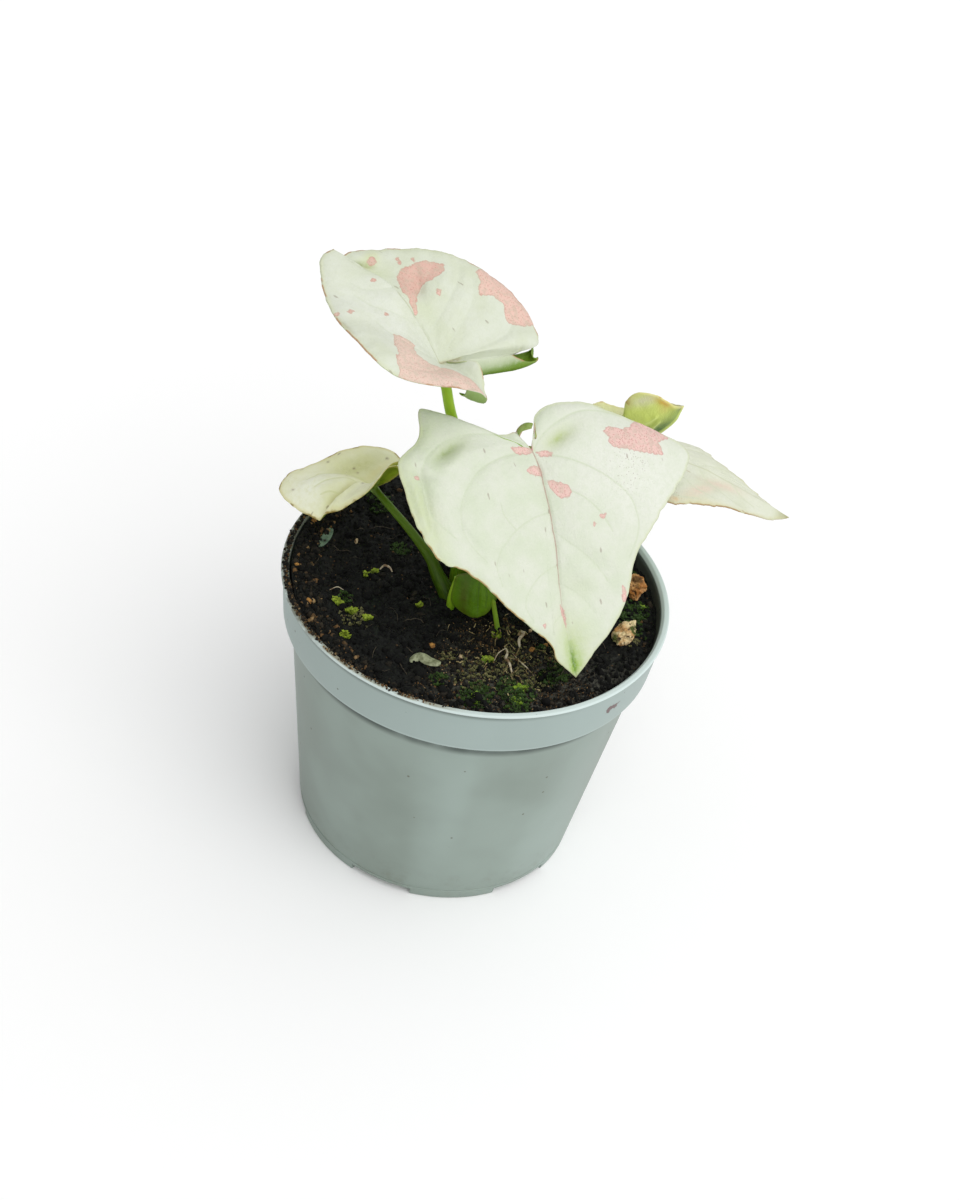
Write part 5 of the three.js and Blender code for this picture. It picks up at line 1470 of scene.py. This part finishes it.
def curl_strip(curl, margin, flat_margin, first):
    """A strip that carries the blade on past its margin and rolls it over.

    With lean as the angle it starts at, the strip at angle a lies radius * (sin(a + lean) - sin(lean))
    outwards and radius * (cos(lean) - cos(a + lean)) down, away from the side it faces. Its length fades
    to nothing over the taper. The open end is cut back by the notch's depth at the fold, which falls to
    nothing at the notch's reach, a share of the strip's length. Swing is added to the outward direction,
    and sweep moves the strip's free edge, most of all at its open end.
    """
    last = int(np.argmin(row_length(margin - np.array(curl["to"]))))
    start, end = sorted((first, last))
    picked = np.arange(start, end + 1)
    open_end = picked[::-1] if first > last else picked
    facing = np.array(curl["facing"]) / np.linalg.norm(curl["facing"])
    tangent = np.gradient(margin, axis=0)
    tangent /= row_length(tangent)
    outward = np.cross(facing, tangent) + np.array(curl["swing"])
    outward /= row_length(outward)
    flat_tangent = np.gradient(flat_margin, axis=0)
    flat_tangent /= row_length(flat_tangent)
    flat_outward = np.stack([-flat_tangent[:, 1], flat_tangent[:, 0]], -1)
    run = run_along(margin[open_end])
    depth, reach = curl["notch"]
    radius, lean = curl["radius"], curl["lean"]
    share = np.linspace(0, 1, CURL_ROWS + 1)[1:, None]
    cut = depth * np.clip(1 - share / reach, 0, 1) ** 0.8
    tears = noise(flat_places(share[:, 0] * curl["length"], share[:, 0] * 0), TEAR_SIZE, 2)
    cut = cut + curl["torn"] * tears[:, None]
    cut = np.clip(cut, 0, None) * np.clip(share / 0.04, 0, 1)
    place = cut + (run[-1] - cut) * (run / run[-1])

    def along(table):
        columns = [np.interp(place, run, table[open_end][:, k]) for k in range(table.shape[1])]
        return np.stack(columns, -1)

    fade = np.clip((run[-1] - place) / (run[-1] * curl["taper"]), 0, 1)
    arc = share * curl["length"] * (fade * fade * (3 - 2 * fade)) + share * 0.02
    angle = arc / radius + lean
    out, down = radius * (np.sin(angle) - math.sin(lean)), radius * (math.cos(lean) - np.cos(angle))
    points = along(margin) + out[..., None] * along(outward) - down[..., None] * facing
    points = points + (share * (1 - run / run[-1]) ** 2)[..., None] * np.array(curl["sweep"])
    flat = along(flat_margin) + arc[..., None] * along(flat_outward)
    if first > last:
        points, flat, arc = points[:, ::-1], flat[:, ::-1], arc[:, ::-1]
    return picked, points, flat, arc / curl["length"]


def line_distance(places, line, closed=False):
    """The distance in the plane from each place to a line of points: to the nearest spot of each stretch."""
    line = np.array(line, float)
    ends = np.roll(line, -1, 0) if closed else line[1:]
    starts = line if closed else line[:-1]
    nearest = np.full(len(places), FAR)
    for start, end in zip(starts, ends):
        step = end - start
        share = np.clip((places - start) @ step / max(step @ step, 1e-12), 0, 1)
        nearest = np.minimum(nearest, np.linalg.norm(places - start - share[:, None] * step, axis=1))
    return nearest


def patch_distance(places, corners):
    """The distance to a closed outline, below zero inside it.

    A place is inside where a ray from it to the right crosses the outline an odd number of times.
    """
    corners = np.array(corners, float)
    inside = np.zeros(len(places), bool)
    for (x0, y0), (x1, y1) in zip(corners, np.roll(corners, -1, 0)):
        if y0 == y1:
            continue
        crosses = (places[:, 1] > min(y0, y1)) & (places[:, 1] <= max(y0, y1))
        inside ^= crosses & (places[:, 0] < x0 + (places[:, 1] - y0) / (y1 - y0) * (x1 - x0))
    distance = line_distance(places, corners, closed=True)
    return np.where(inside, -distance, distance)


def oval_share(places, x, y, along, across, turn):
    """1 in the middle of an oval spot, falling as exp(-d^2), with d as 1 on the oval turned by degrees."""
    turn = math.radians(turn)
    u = (places[:, 0] - x) * math.cos(turn) + (places[:, 1] - y) * math.sin(turn)
    v = (places[:, 1] - y) * math.cos(turn) - (places[:, 0] - x) * math.sin(turn)
    return np.exp(-((u / along) ** 2) - (v / across) ** 2)


def leaf_sheet(leaf, points, flat):
    """The fan and its curls as one sheet, before it gets its relief.

    It returns the points, their flat places, the quads, the flat places of the free edge, 1 for each point
    of the fan and 0 for each of a curl, and how green the curls make each point.
    """
    rows, columns = points.shape[:2]
    numbers = np.zeros((rows, columns), int)
    numbers[1:] = 1 + np.arange((rows - 1) * columns).reshape(rows - 1, columns)
    upper = np.vstack([points[:1, 0], points[1:].reshape(-1, 3)])
    places = np.vstack([flat[:1, 0], flat[1:].reshape(-1, 2)])
    quads = grid_quads(numbers)
    border = numbers[-1]
    sides, free = [places[numbers[1:, 0]], places[numbers[1:, -1]]], places[border]
    on_fan, green = np.ones(len(upper)), np.zeros(len(upper))
    for curl in leaf["curls"]:
        curl = {**PLAIN_CURL, **curl}
        first = int(np.argmin(row_length(upper[border] - np.array(curl["from"]))))
        picked, strip, strip_flat, share = curl_strip(curl, upper[border], places[border], first)
        quads = np.vstack([quads, grid_quads(np.vstack([border[picked], numbered(strip) + len(upper)]))])
        upper = np.vstack([upper, strip.reshape(-1, 3)])
        places = np.vstack([places, strip_flat.reshape(-1, 2)])
        on_fan = np.r_[on_fan, np.zeros(share.size)]
        green = np.r_[green, curl["green"] * np.clip(share.ravel() / curl["ramp"], 0, 1)]
        free = np.vstack([np.delete(free, picked, 0), strip_flat[-1], strip_flat[:, 0], strip_flat[:, -1]])
    return upper, places, quads, np.vstack([sides[0], free, sides[1]]), on_fan, green


def edge_distance(places, free_edge):
    """The distance in the plane from each place to the nearest point of the free edge, in small groups."""
    edge = np.full(len(places), FAR)
    for group in np.array_split(free_edge, EDGE_GROUPS):
        edge = np.minimum(edge, np.linalg.norm(places[:, None] - group[None], axis=2).min(1))
    return edge


def wash_fields(leaf, places):
    """The colour of the soft washes at each place, laid one over the other, and how much they cover it."""
    wash, washed = np.zeros((len(places), 3)), np.zeros(len(places))
    for *oval, strength, colour in leaf["washes"]:
        share = strength * oval_share(places, *oval)
        wash = wash * (1 - share)[:, None] + share[:, None] * np.array(rgba(colour)[:3])
        washed = washed * (1 - share) + share
    return wash / np.maximum(washed, 1e-6)[:, None], washed


def leaf_relief(leaf, places, edge, rib, vein):
    """How far each point rises: more between the veins, less on them, in hollows and at the margin."""
    lift = np.zeros(len(places))
    for *oval, depth in leaf["hollows"]:
        lift -= depth * oval_share(places, *oval)
    settled = 1 - np.exp(-((edge / QUILT_MARGIN) ** 2))
    lift += leaf["quilt"] * settled * (1 - np.exp(-((np.minimum(vein, rib) / QUILT_REACH) ** 2)))
    lift -= leaf["groove"] * np.exp(-((vein / VEIN_GROOVE_WIDTH) ** 2)) * settled
    lift -= RIB_GROOVE * np.exp(-((rib / RIB_GROOVE_WIDTH) ** 2)) * np.clip(edge / 2, 0, 1)
    spread = flat_places(*places.T)
    puckers, ripples = noise(spread + 70, PUCKER_SIZE, 2), noise(spread + 20, RIPPLE_SIZE, 2)
    lift += PUCKER * puckers * settled + RIPPLE * ripples
    lift -= MARGIN_DROP * np.exp(-((edge / MARGIN_DROP_WIDTH) ** 2))
    return lift * np.clip(row_length(places)[:, 0] / 3, 0, 1)


def sheet_faces(quads, count):
    """The faces of a closed skin: the upper sheet, the lower one turned over, and the rim between them.

    A quad at the leaf's base has one point twice and becomes a triangle. A side that no other face runs
    the opposite way belongs to the rim.
    """
    quads = [list(dict.fromkeys(quad)) for quad in quads.tolist()]
    steps = np.array([(face[i - 1], face[i]) for face in quads for i in range(len(face))])
    keys = steps[:, 0] * count + steps[:, 1]
    a, b = steps[~np.isin(keys, steps[:, 1] * count + steps[:, 0])].T
    lower = [[number + count for number in face[::-1]] for face in quads]
    return quads + lower + np.stack([b, a, a + count, b + count], 1).tolist()


def leaf_mesh(leaf):
    """The blade's closed skin and the fields that its finish reads, one value for each point.

    The relief is raised along the sheet's eased normals, or along the fan's mean direction by the rib. The
    under side lies deeper by the blade's thickness, which is 0.45 of its full value at the margin, and by
    the keels under the rib and the veins, each its height * exp(-(distance / width) ** 2).
    """
    points, flat = leaf_fan(leaf)
    upper, places, quads, free_edge, on_fan, green = leaf_sheet(leaf, points, flat)
    edge = edge_distance(places, free_edge)
    rib = line_distance(places, smooth_line(leaf["rib"], RIB_STEPS))
    vein, patch = np.full(len(places), FAR), np.full(len(places), NO_PATCH)
    for line in leaf["veins"]:
        vein = np.minimum(vein, line_distance(places, smooth_line(line, VEIN_STEPS)))
    for corners in leaf["patches"]:
        patch = np.minimum(patch, patch_distance(places, corners))
    wash, washed = wash_fields(leaf, places)
    near_rib = 0.9 * np.exp(-((rib / RIB_STIFF_WIDTH) ** 2))[:, None] * on_fan[:, None]
    normals = eased(corner_normals(upper, quads), quads, EASING_ROUNDS)
    normals = near_rib * crown_of(points) + (1 - near_rib) * normals
    normals /= row_length(normals)
    upper = upper + normals * leaf_relief(leaf, places, edge, rib, vein)[:, None]
    inward = np.clip(1 - places[:, 0] / np.ptp(places[:, 0]) * 1.3, 0.1, 1)
    keel = RIB_KEEL * inward * np.exp(-((rib / 0.5) ** 2)) + VEIN_KEEL * np.exp(-((vein / 0.4) ** 2))
    thick = leaf["thickness"] * (0.45 + 0.55 * np.clip(edge / 0.8, 0, 1)) + keel * np.clip(edge / 1.5, 0, 1)
    lower = upper - normals * thick[:, None]
    fields = {"edge": edge, "rib": rib, "vein": vein, "patch": patch, "tint": green}
    values = {
        "flat": np.tile(flat_places(*places.T), (2, 1)), "side": np.repeat([0.0, 1.0], len(upper)),
        **{name: np.tile(field, 2) for name, field in fields.items()}, "wash": np.tile(wash, (2, 1)),
        "washed": np.r_[washed * (1 - leaf["under_washed"]), washed * leaf["under_washed"]],
    }
    return np.vstack([upper, lower]), sheet_faces(quads, len(upper)), values


PLAIN_LOOK = {"painted_pink_shade": 0.0, "pink_pales": 0.0, "brown_side": 0}
LOOKS = {
    "front_leaf": {
        "pale": (207, 211, 196), "fresh": (199, 207, 185), "green": (108, 134, 0), "vein": (192, 201, 175),
        "rib_end": 34.0, "rib": (168, 138, 124), "margin": (194, 202, 151), "brown": (168, 136, 76),
        "brown_share": 0.8, "brown_side": -1, "throat": (185, 132, 132), "pink": (221, 186, 177),
        "deep_pink": (192, 136, 130), "under": (128, 158, 44), "under_vein": (172, 200, 118),
        "under_deep": (96, 142, 48), "speck": (124, 98, 88),
    },
    "top_leaf": {
        "pale": (206, 211, 195), "fresh": (199, 205, 182), "green": (96, 130, 0), "vein": (200, 206, 187),
        "painted_pink_shade": 0.28, "pink_pales": 0.2, "rib_end": 26.0, "rib": (177, 181, 153),
        "margin": (196, 202, 155), "brown": (178, 136, 100), "brown_share": 0.55, "throat": (183, 177, 149),
        "pink": (219, 184, 170), "deep_pink": (188, 140, 124), "under": (110, 144, 16),
        "under_vein": (150, 178, 66), "under_deep": (84, 114, 8), "speck": (126, 112, 92),
    },
    "left_leaf": {
        "pale": (240, 241, 212), "fresh": (228, 229, 184), "green": (120, 150, 40), "vein": (214, 217, 163),
        "rib_end": 16.0, "rib": (203, 201, 133), "margin": (210, 195, 103), "brown": (146, 122, 46),
        "brown_share": 0.5, "throat": (182, 171, 90), "pink": (222, 170, 160), "deep_pink": (196, 132, 126),
        "under": (146, 168, 30), "under_vein": (150, 178, 78), "under_deep": (104, 128, 14),
        "speck": (112, 88, 60),
    },
    "right_leaf": {
        "pale": (209, 212, 195), "fresh": (202, 206, 183), "green": (160, 174, 110),
        "vein": (198, 203, 178), "rib_end": 40.0, "rib": (191, 194, 165), "margin": (191, 187, 133),
        "brown": (160, 124, 76), "brown_share": 1.0, "brown_side": -1, "throat": (178, 168, 131),
        "pink": (230, 214, 200), "deep_pink": (222, 196, 180), "under": (130, 168, 72),
        "under_vein": (172, 198, 122), "under_deep": (104, 146, 50), "speck": (160, 126, 84),
    },
    "back_leaf": {
        "pale": (226, 224, 182), "fresh": (204, 210, 146), "green": (126, 160, 60), "vein": (196, 206, 140),
        "rib_end": 20.0, "rib": (170, 186, 110), "margin": (224, 218, 150), "brown": (188, 136, 56),
        "brown_share": 0.35, "throat": (170, 160, 90), "pink": (226, 190, 178),
        "deep_pink": (208, 160, 148), "under": (228, 240, 128), "under_vein": (216, 230, 130),
        "under_deep": (92, 130, 4), "speck": (150, 116, 76),
    },
    "sheath_leaf": {
        "pale": (104, 148, 6), "fresh": (84, 126, 4), "green": (60, 100, 20), "vein": (88, 126, 20),
        "rib_end": 12.0, "rib": (90, 128, 20), "margin": (100, 106, 30), "brown": (134, 110, 70),
        "brown_share": 0.3, "throat": (100, 110, 40), "pink": (120, 100, 60), "deep_pink": (120, 90, 50),
        "under": (72, 112, 26), "under_vein": (110, 150, 60), "under_deep": (54, 90, 16),
        "speck": (60, 70, 24),
    },
}


def leaf_finish(name, leaf, look):
    """Blade skin by the fields on it: pale cells, soft veins, ragged pink patches and a thin margin.

    Distances are in millimetres on the leaf rolled out flat. The upper skin is made first, then the under
    skin, and the side field picks between them.
    """
    f = Finish(name, Specular_IOR_Level=0.38)
    flat = f.attribute("flat", "Vector")
    side, edge, rib = f.attribute("side"), f.attribute("edge"), f.attribute("rib")
    vein, patch, tint = f.attribute("vein"), f.attribute("patch"), f.attribute("tint")
    clouds = f.noise(flat, 0.17, 3, 0.55)
    ragged = f.noise(flat, 1.1, 4, 0.65)
    fine = f.noise(flat, 5.0, 2, 0.6)
    cells = f.cells(flat, 3.2)
    skin = f.mix(f.step(clouds, 0.36, 0.7), look["pale"], look["fresh"])
    skin = f.mix(tint * (0.35 + ragged * 1.3), skin, look["green"])
    wash, washed = f.attribute("wash", "Vector"), f.attribute("washed") * (0.55 + ragged * 0.9)
    skin = f.mix(washed, skin, wash)
    skin = f.mix(f.step(vein, 0.26, 0.05) * 0.65, skin, look["vein"])
    flatness = f.step(tint, 0.3, 0.1)
    rim = f.step(edge + (ragged - 0.5) * 0.5, 0.8, 0.05)
    skin = f.mix(rim * (flatness * 0.35 + 0.1), skin, look["margin"])
    pink = f.mix(f.step(cells, 0.1, 0.45), look["deep_pink"], look["pink"])
    pink = f.mix(f.step(f.noise(flat, 0.9, 4, 0.65), 0.46, 0.66) * 0.5, pink, look["deep_pink"])
    # Painted shade: the pink darkens to deep pink from x 7.5 to 11, where that part of the leaf lies in
    # shade.
    pink = f.mix(f.step(f.part_of(flat, "X"), 7.5, 11) * look["painted_pink_shade"], pink, look["deep_pink"])
    pink = f.mix(f.step(f.part_of(flat, "Y"), 2, 7) * look["pink_pales"], pink, look["pale"])
    torn = patch + (ragged - 0.5) * 1.1
    skin = f.mix(f.step(torn, 0.12, -0.06) * flatness, skin, pink)
    outline = f.step(torn, 0.2, 0.06) * f.step(torn, -0.16, 0.0)
    skin = f.mix(outline * flatness * 0.6, skin, look["deep_pink"])
    length = f.part_of(flat, "X")
    rib_line = f.step(rib, 0.17, 0.06) * f.step(length, look["rib_end"], look["rib_end"] * 0.5)
    skin = f.mix(rib_line * 0.8, skin, look["rib"])
    x, y, radius = leaf["dotted"]
    gap = f.vectors("DISTANCE", flat, (x, y, 0), output="Value")
    dot_chance = f.step(f.part_of(f.cells(flat, 2.6, "Color"), "X"), 0.3, 0.5)
    dotted = f.step(gap + (ragged - 0.5) * 5, radius, radius * 0.2)
    dotted = dotted * f.step(f.cells(flat, 2.6) + (fine - 0.5) * 0.3, 0.3, 0.16)
    skin = f.mix(dotted * dot_chance * 0.55, skin, look["speck"])
    slanted = {"Vector": flat, "Rotation": (0, 0, 0.6), "Scale": (0.5, 1.3, 1)}
    scratched = f.node("ShaderNodeMapping", {}, slanted)
    chance = f.part_of(f.cells(scratched, 0.42, "Color"), "X")
    specks = f.step(f.cells(scratched, 0.42) + (ragged - 0.5) * 0.14, 0.12, 0.06)
    specks = specks * f.step(chance, 0.62, 0.64)
    skin = f.mix(specks * 0.5, skin, look["speck"])
    mottled = f.step(f.noise(flat, 0.9, 4, 0.7), 0.44, 0.62)
    skin = f.mix(mottled * flatness * 0.3, skin, look["fresh"])
    throat = f.vectors("LENGTH", flat, output="Value")
    skin = f.mix(f.step(edge, 0.4, 0.12) * f.step(throat, 5.0, 3.0) * 0.8, skin, look["throat"])
    least = 0.66 - 0.34 * look["brown_share"]
    dry = f.step(f.noise(flat, 0.3, 2, 0.5), least, least + 0.08)
    brown = f.step(edge + (ragged - 0.5) * 0.35, 0.34, 0.06) * dry * f.step(throat, 3.0, 6.0)
    if look["brown_side"]:
        side_share = f.step(f.part_of(flat, "Y") * look["brown_side"], 2.0, 5.0)
        brown = brown * side_share * f.step(length, 3.0, 9.0)
    skin = f.mix(brown * 0.9, skin, look["brown"])
    under = f.mix(f.step(clouds, 0.35, 0.7) * 0.4, look["under"], look["under_vein"])
    under = f.mix(f.step(rib + (clouds - 0.5) * 3, 4.5, 0.5) * 0.8, under, look["under_deep"])
    under = f.mix(washed, under, wash)
    under = f.mix(f.step(vein, 0.5, 0.1) * 0.6, under, look["under_vein"])
    under = f.mix(f.step(rib, 0.7, 0.2) * 0.7, under, look["under_vein"])
    under = f.mix(f.step(edge, 0.7, 0.1) * (flatness * 0.5 + 0.1), under, look["margin"])
    under = f.mix(f.step(edge + (ragged - 0.5) * 0.3, 0.26, 0.06) * dry * 0.8, under, look["brown"])
    colour = f.mix(f.step(side, 0.25, 0.75), skin, under)
    roughness = 0.46 + fine * 0.12
    relief = cells * 0.6 + fine * 0.4
    return f.finish(colour, roughness, [(relief, 0.00007, 0.8), (ragged, 0.00016, 0.6)])


for name, leaf in LEAVES.items():
    leaf = {**PLAIN_LEAF, **leaf}
    points, faces, values = leaf_mesh(leaf)
    material = leaf_finish(name + "_skin", leaf, {**PLAIN_LOOK, **LOOKS[name]})
    add_piece(name + "_surface", points, faces, material, leaf["slot"], [leaf["node"]], values)

# ---------- floor, light and camera ----------
# A plain pale floor under soft studio light: one wide lamp high in front, and a pale surround that
# grows brighter to the upper right. The camera looks down on the pot's front with a slight roll.

FLOOR_HALF = 3.0
FLOOR_COLOUR = (250, 250, 250)
FOCAL_LENGTH = 51.0
SENSOR = 36.0
CLIP_START = 0.01
CAMERA_PLACE = Vector((1.155, -236.075, 247.249)) * MM
CAMERA_ELEVATION = math.radians(39.7)
CAMERA_ROLL = math.radians(-11.4)
SKY_MIDDLE = 0.60
SKY_TILT = (0.38, -0.05, 0.28)
KEY_STRENGTH = 1.2
KEY_SPREAD = math.radians(60)
KEY_FROM = (0.35, -0.55, 0.8)

floor_mesh = bpy.data.meshes.new("floor")
floor_corners = [(x * FLOOR_HALF, y * FLOOR_HALF, 0) for x, y in ((-1, -1), (1, -1), (1, 1), (-1, 1))]
floor_mesh.from_pydata(floor_corners, [], [(0, 1, 2, 3)])
floor_finish = Finish("pale_floor", Roughness=0.9, Specular_IOR_Level=0.1)
floor_finish.shader.inputs["Base Color"].default_value = rgba(FLOOR_COLOUR)
floor_mesh.materials.append(floor_finish.material)
floor = bpy.data.objects.new("floor", floor_mesh)
bpy.context.scene.collection.objects.link(floor)

world = bpy.data.worlds.new("studio")
world.use_nodes = True
sky = world.node_tree.nodes
heading = sky.new("ShaderNodeTexCoord")
tilt = sky.new("ShaderNodeVectorMath")
tilt.operation = "DOT_PRODUCT"
tilt.inputs[1].default_value = SKY_TILT
glow = sky.new("ShaderNodeMath")
glow.operation = "ADD"
glow.inputs[1].default_value = SKY_MIDDLE
world.node_tree.links.new(heading.outputs["Generated"], tilt.inputs[0])
world.node_tree.links.new(tilt.outputs["Value"], glow.inputs[0])
world.node_tree.links.new(glow.outputs[0], sky["Background"].inputs["Strength"])
sky["Background"].inputs["Color"].default_value = (1.0, 1.0, 1.0, 1.0)
bpy.context.scene.world = world

key = bpy.data.lights.new("key_light", "SUN")
key.energy, key.angle = KEY_STRENGTH, KEY_SPREAD
key_holder = bpy.data.objects.new("key_light", key)
key_holder.rotation_euler = Vector(KEY_FROM).to_track_quat("Z", "Y").to_euler()
bpy.context.scene.collection.objects.link(key_holder)

level = Vector((1, 0, 0))
back = Vector((0, -math.cos(CAMERA_ELEVATION), math.sin(CAMERA_ELEVATION)))
above = back.cross(level)
right = level * math.cos(CAMERA_ROLL) - above * math.sin(CAMERA_ROLL)
camera_up = level * math.sin(CAMERA_ROLL) + above * math.cos(CAMERA_ROLL)
camera_data = bpy.data.cameras.new("camera")
camera_data.lens, camera_data.sensor_width, camera_data.clip_start = FOCAL_LENGTH, SENSOR, CLIP_START
camera = bpy.data.objects.new("camera", camera_data)
camera_turn = Matrix((right, camera_up, back)).transposed().to_4x4()
camera.matrix_world = Matrix.Translation(CAMERA_PLACE) @ camera_turn
bpy.context.scene.collection.objects.link(camera)
bpy.context.scene.camera = camera
bpy.context.scene.view_settings.view_transform = "Standard"
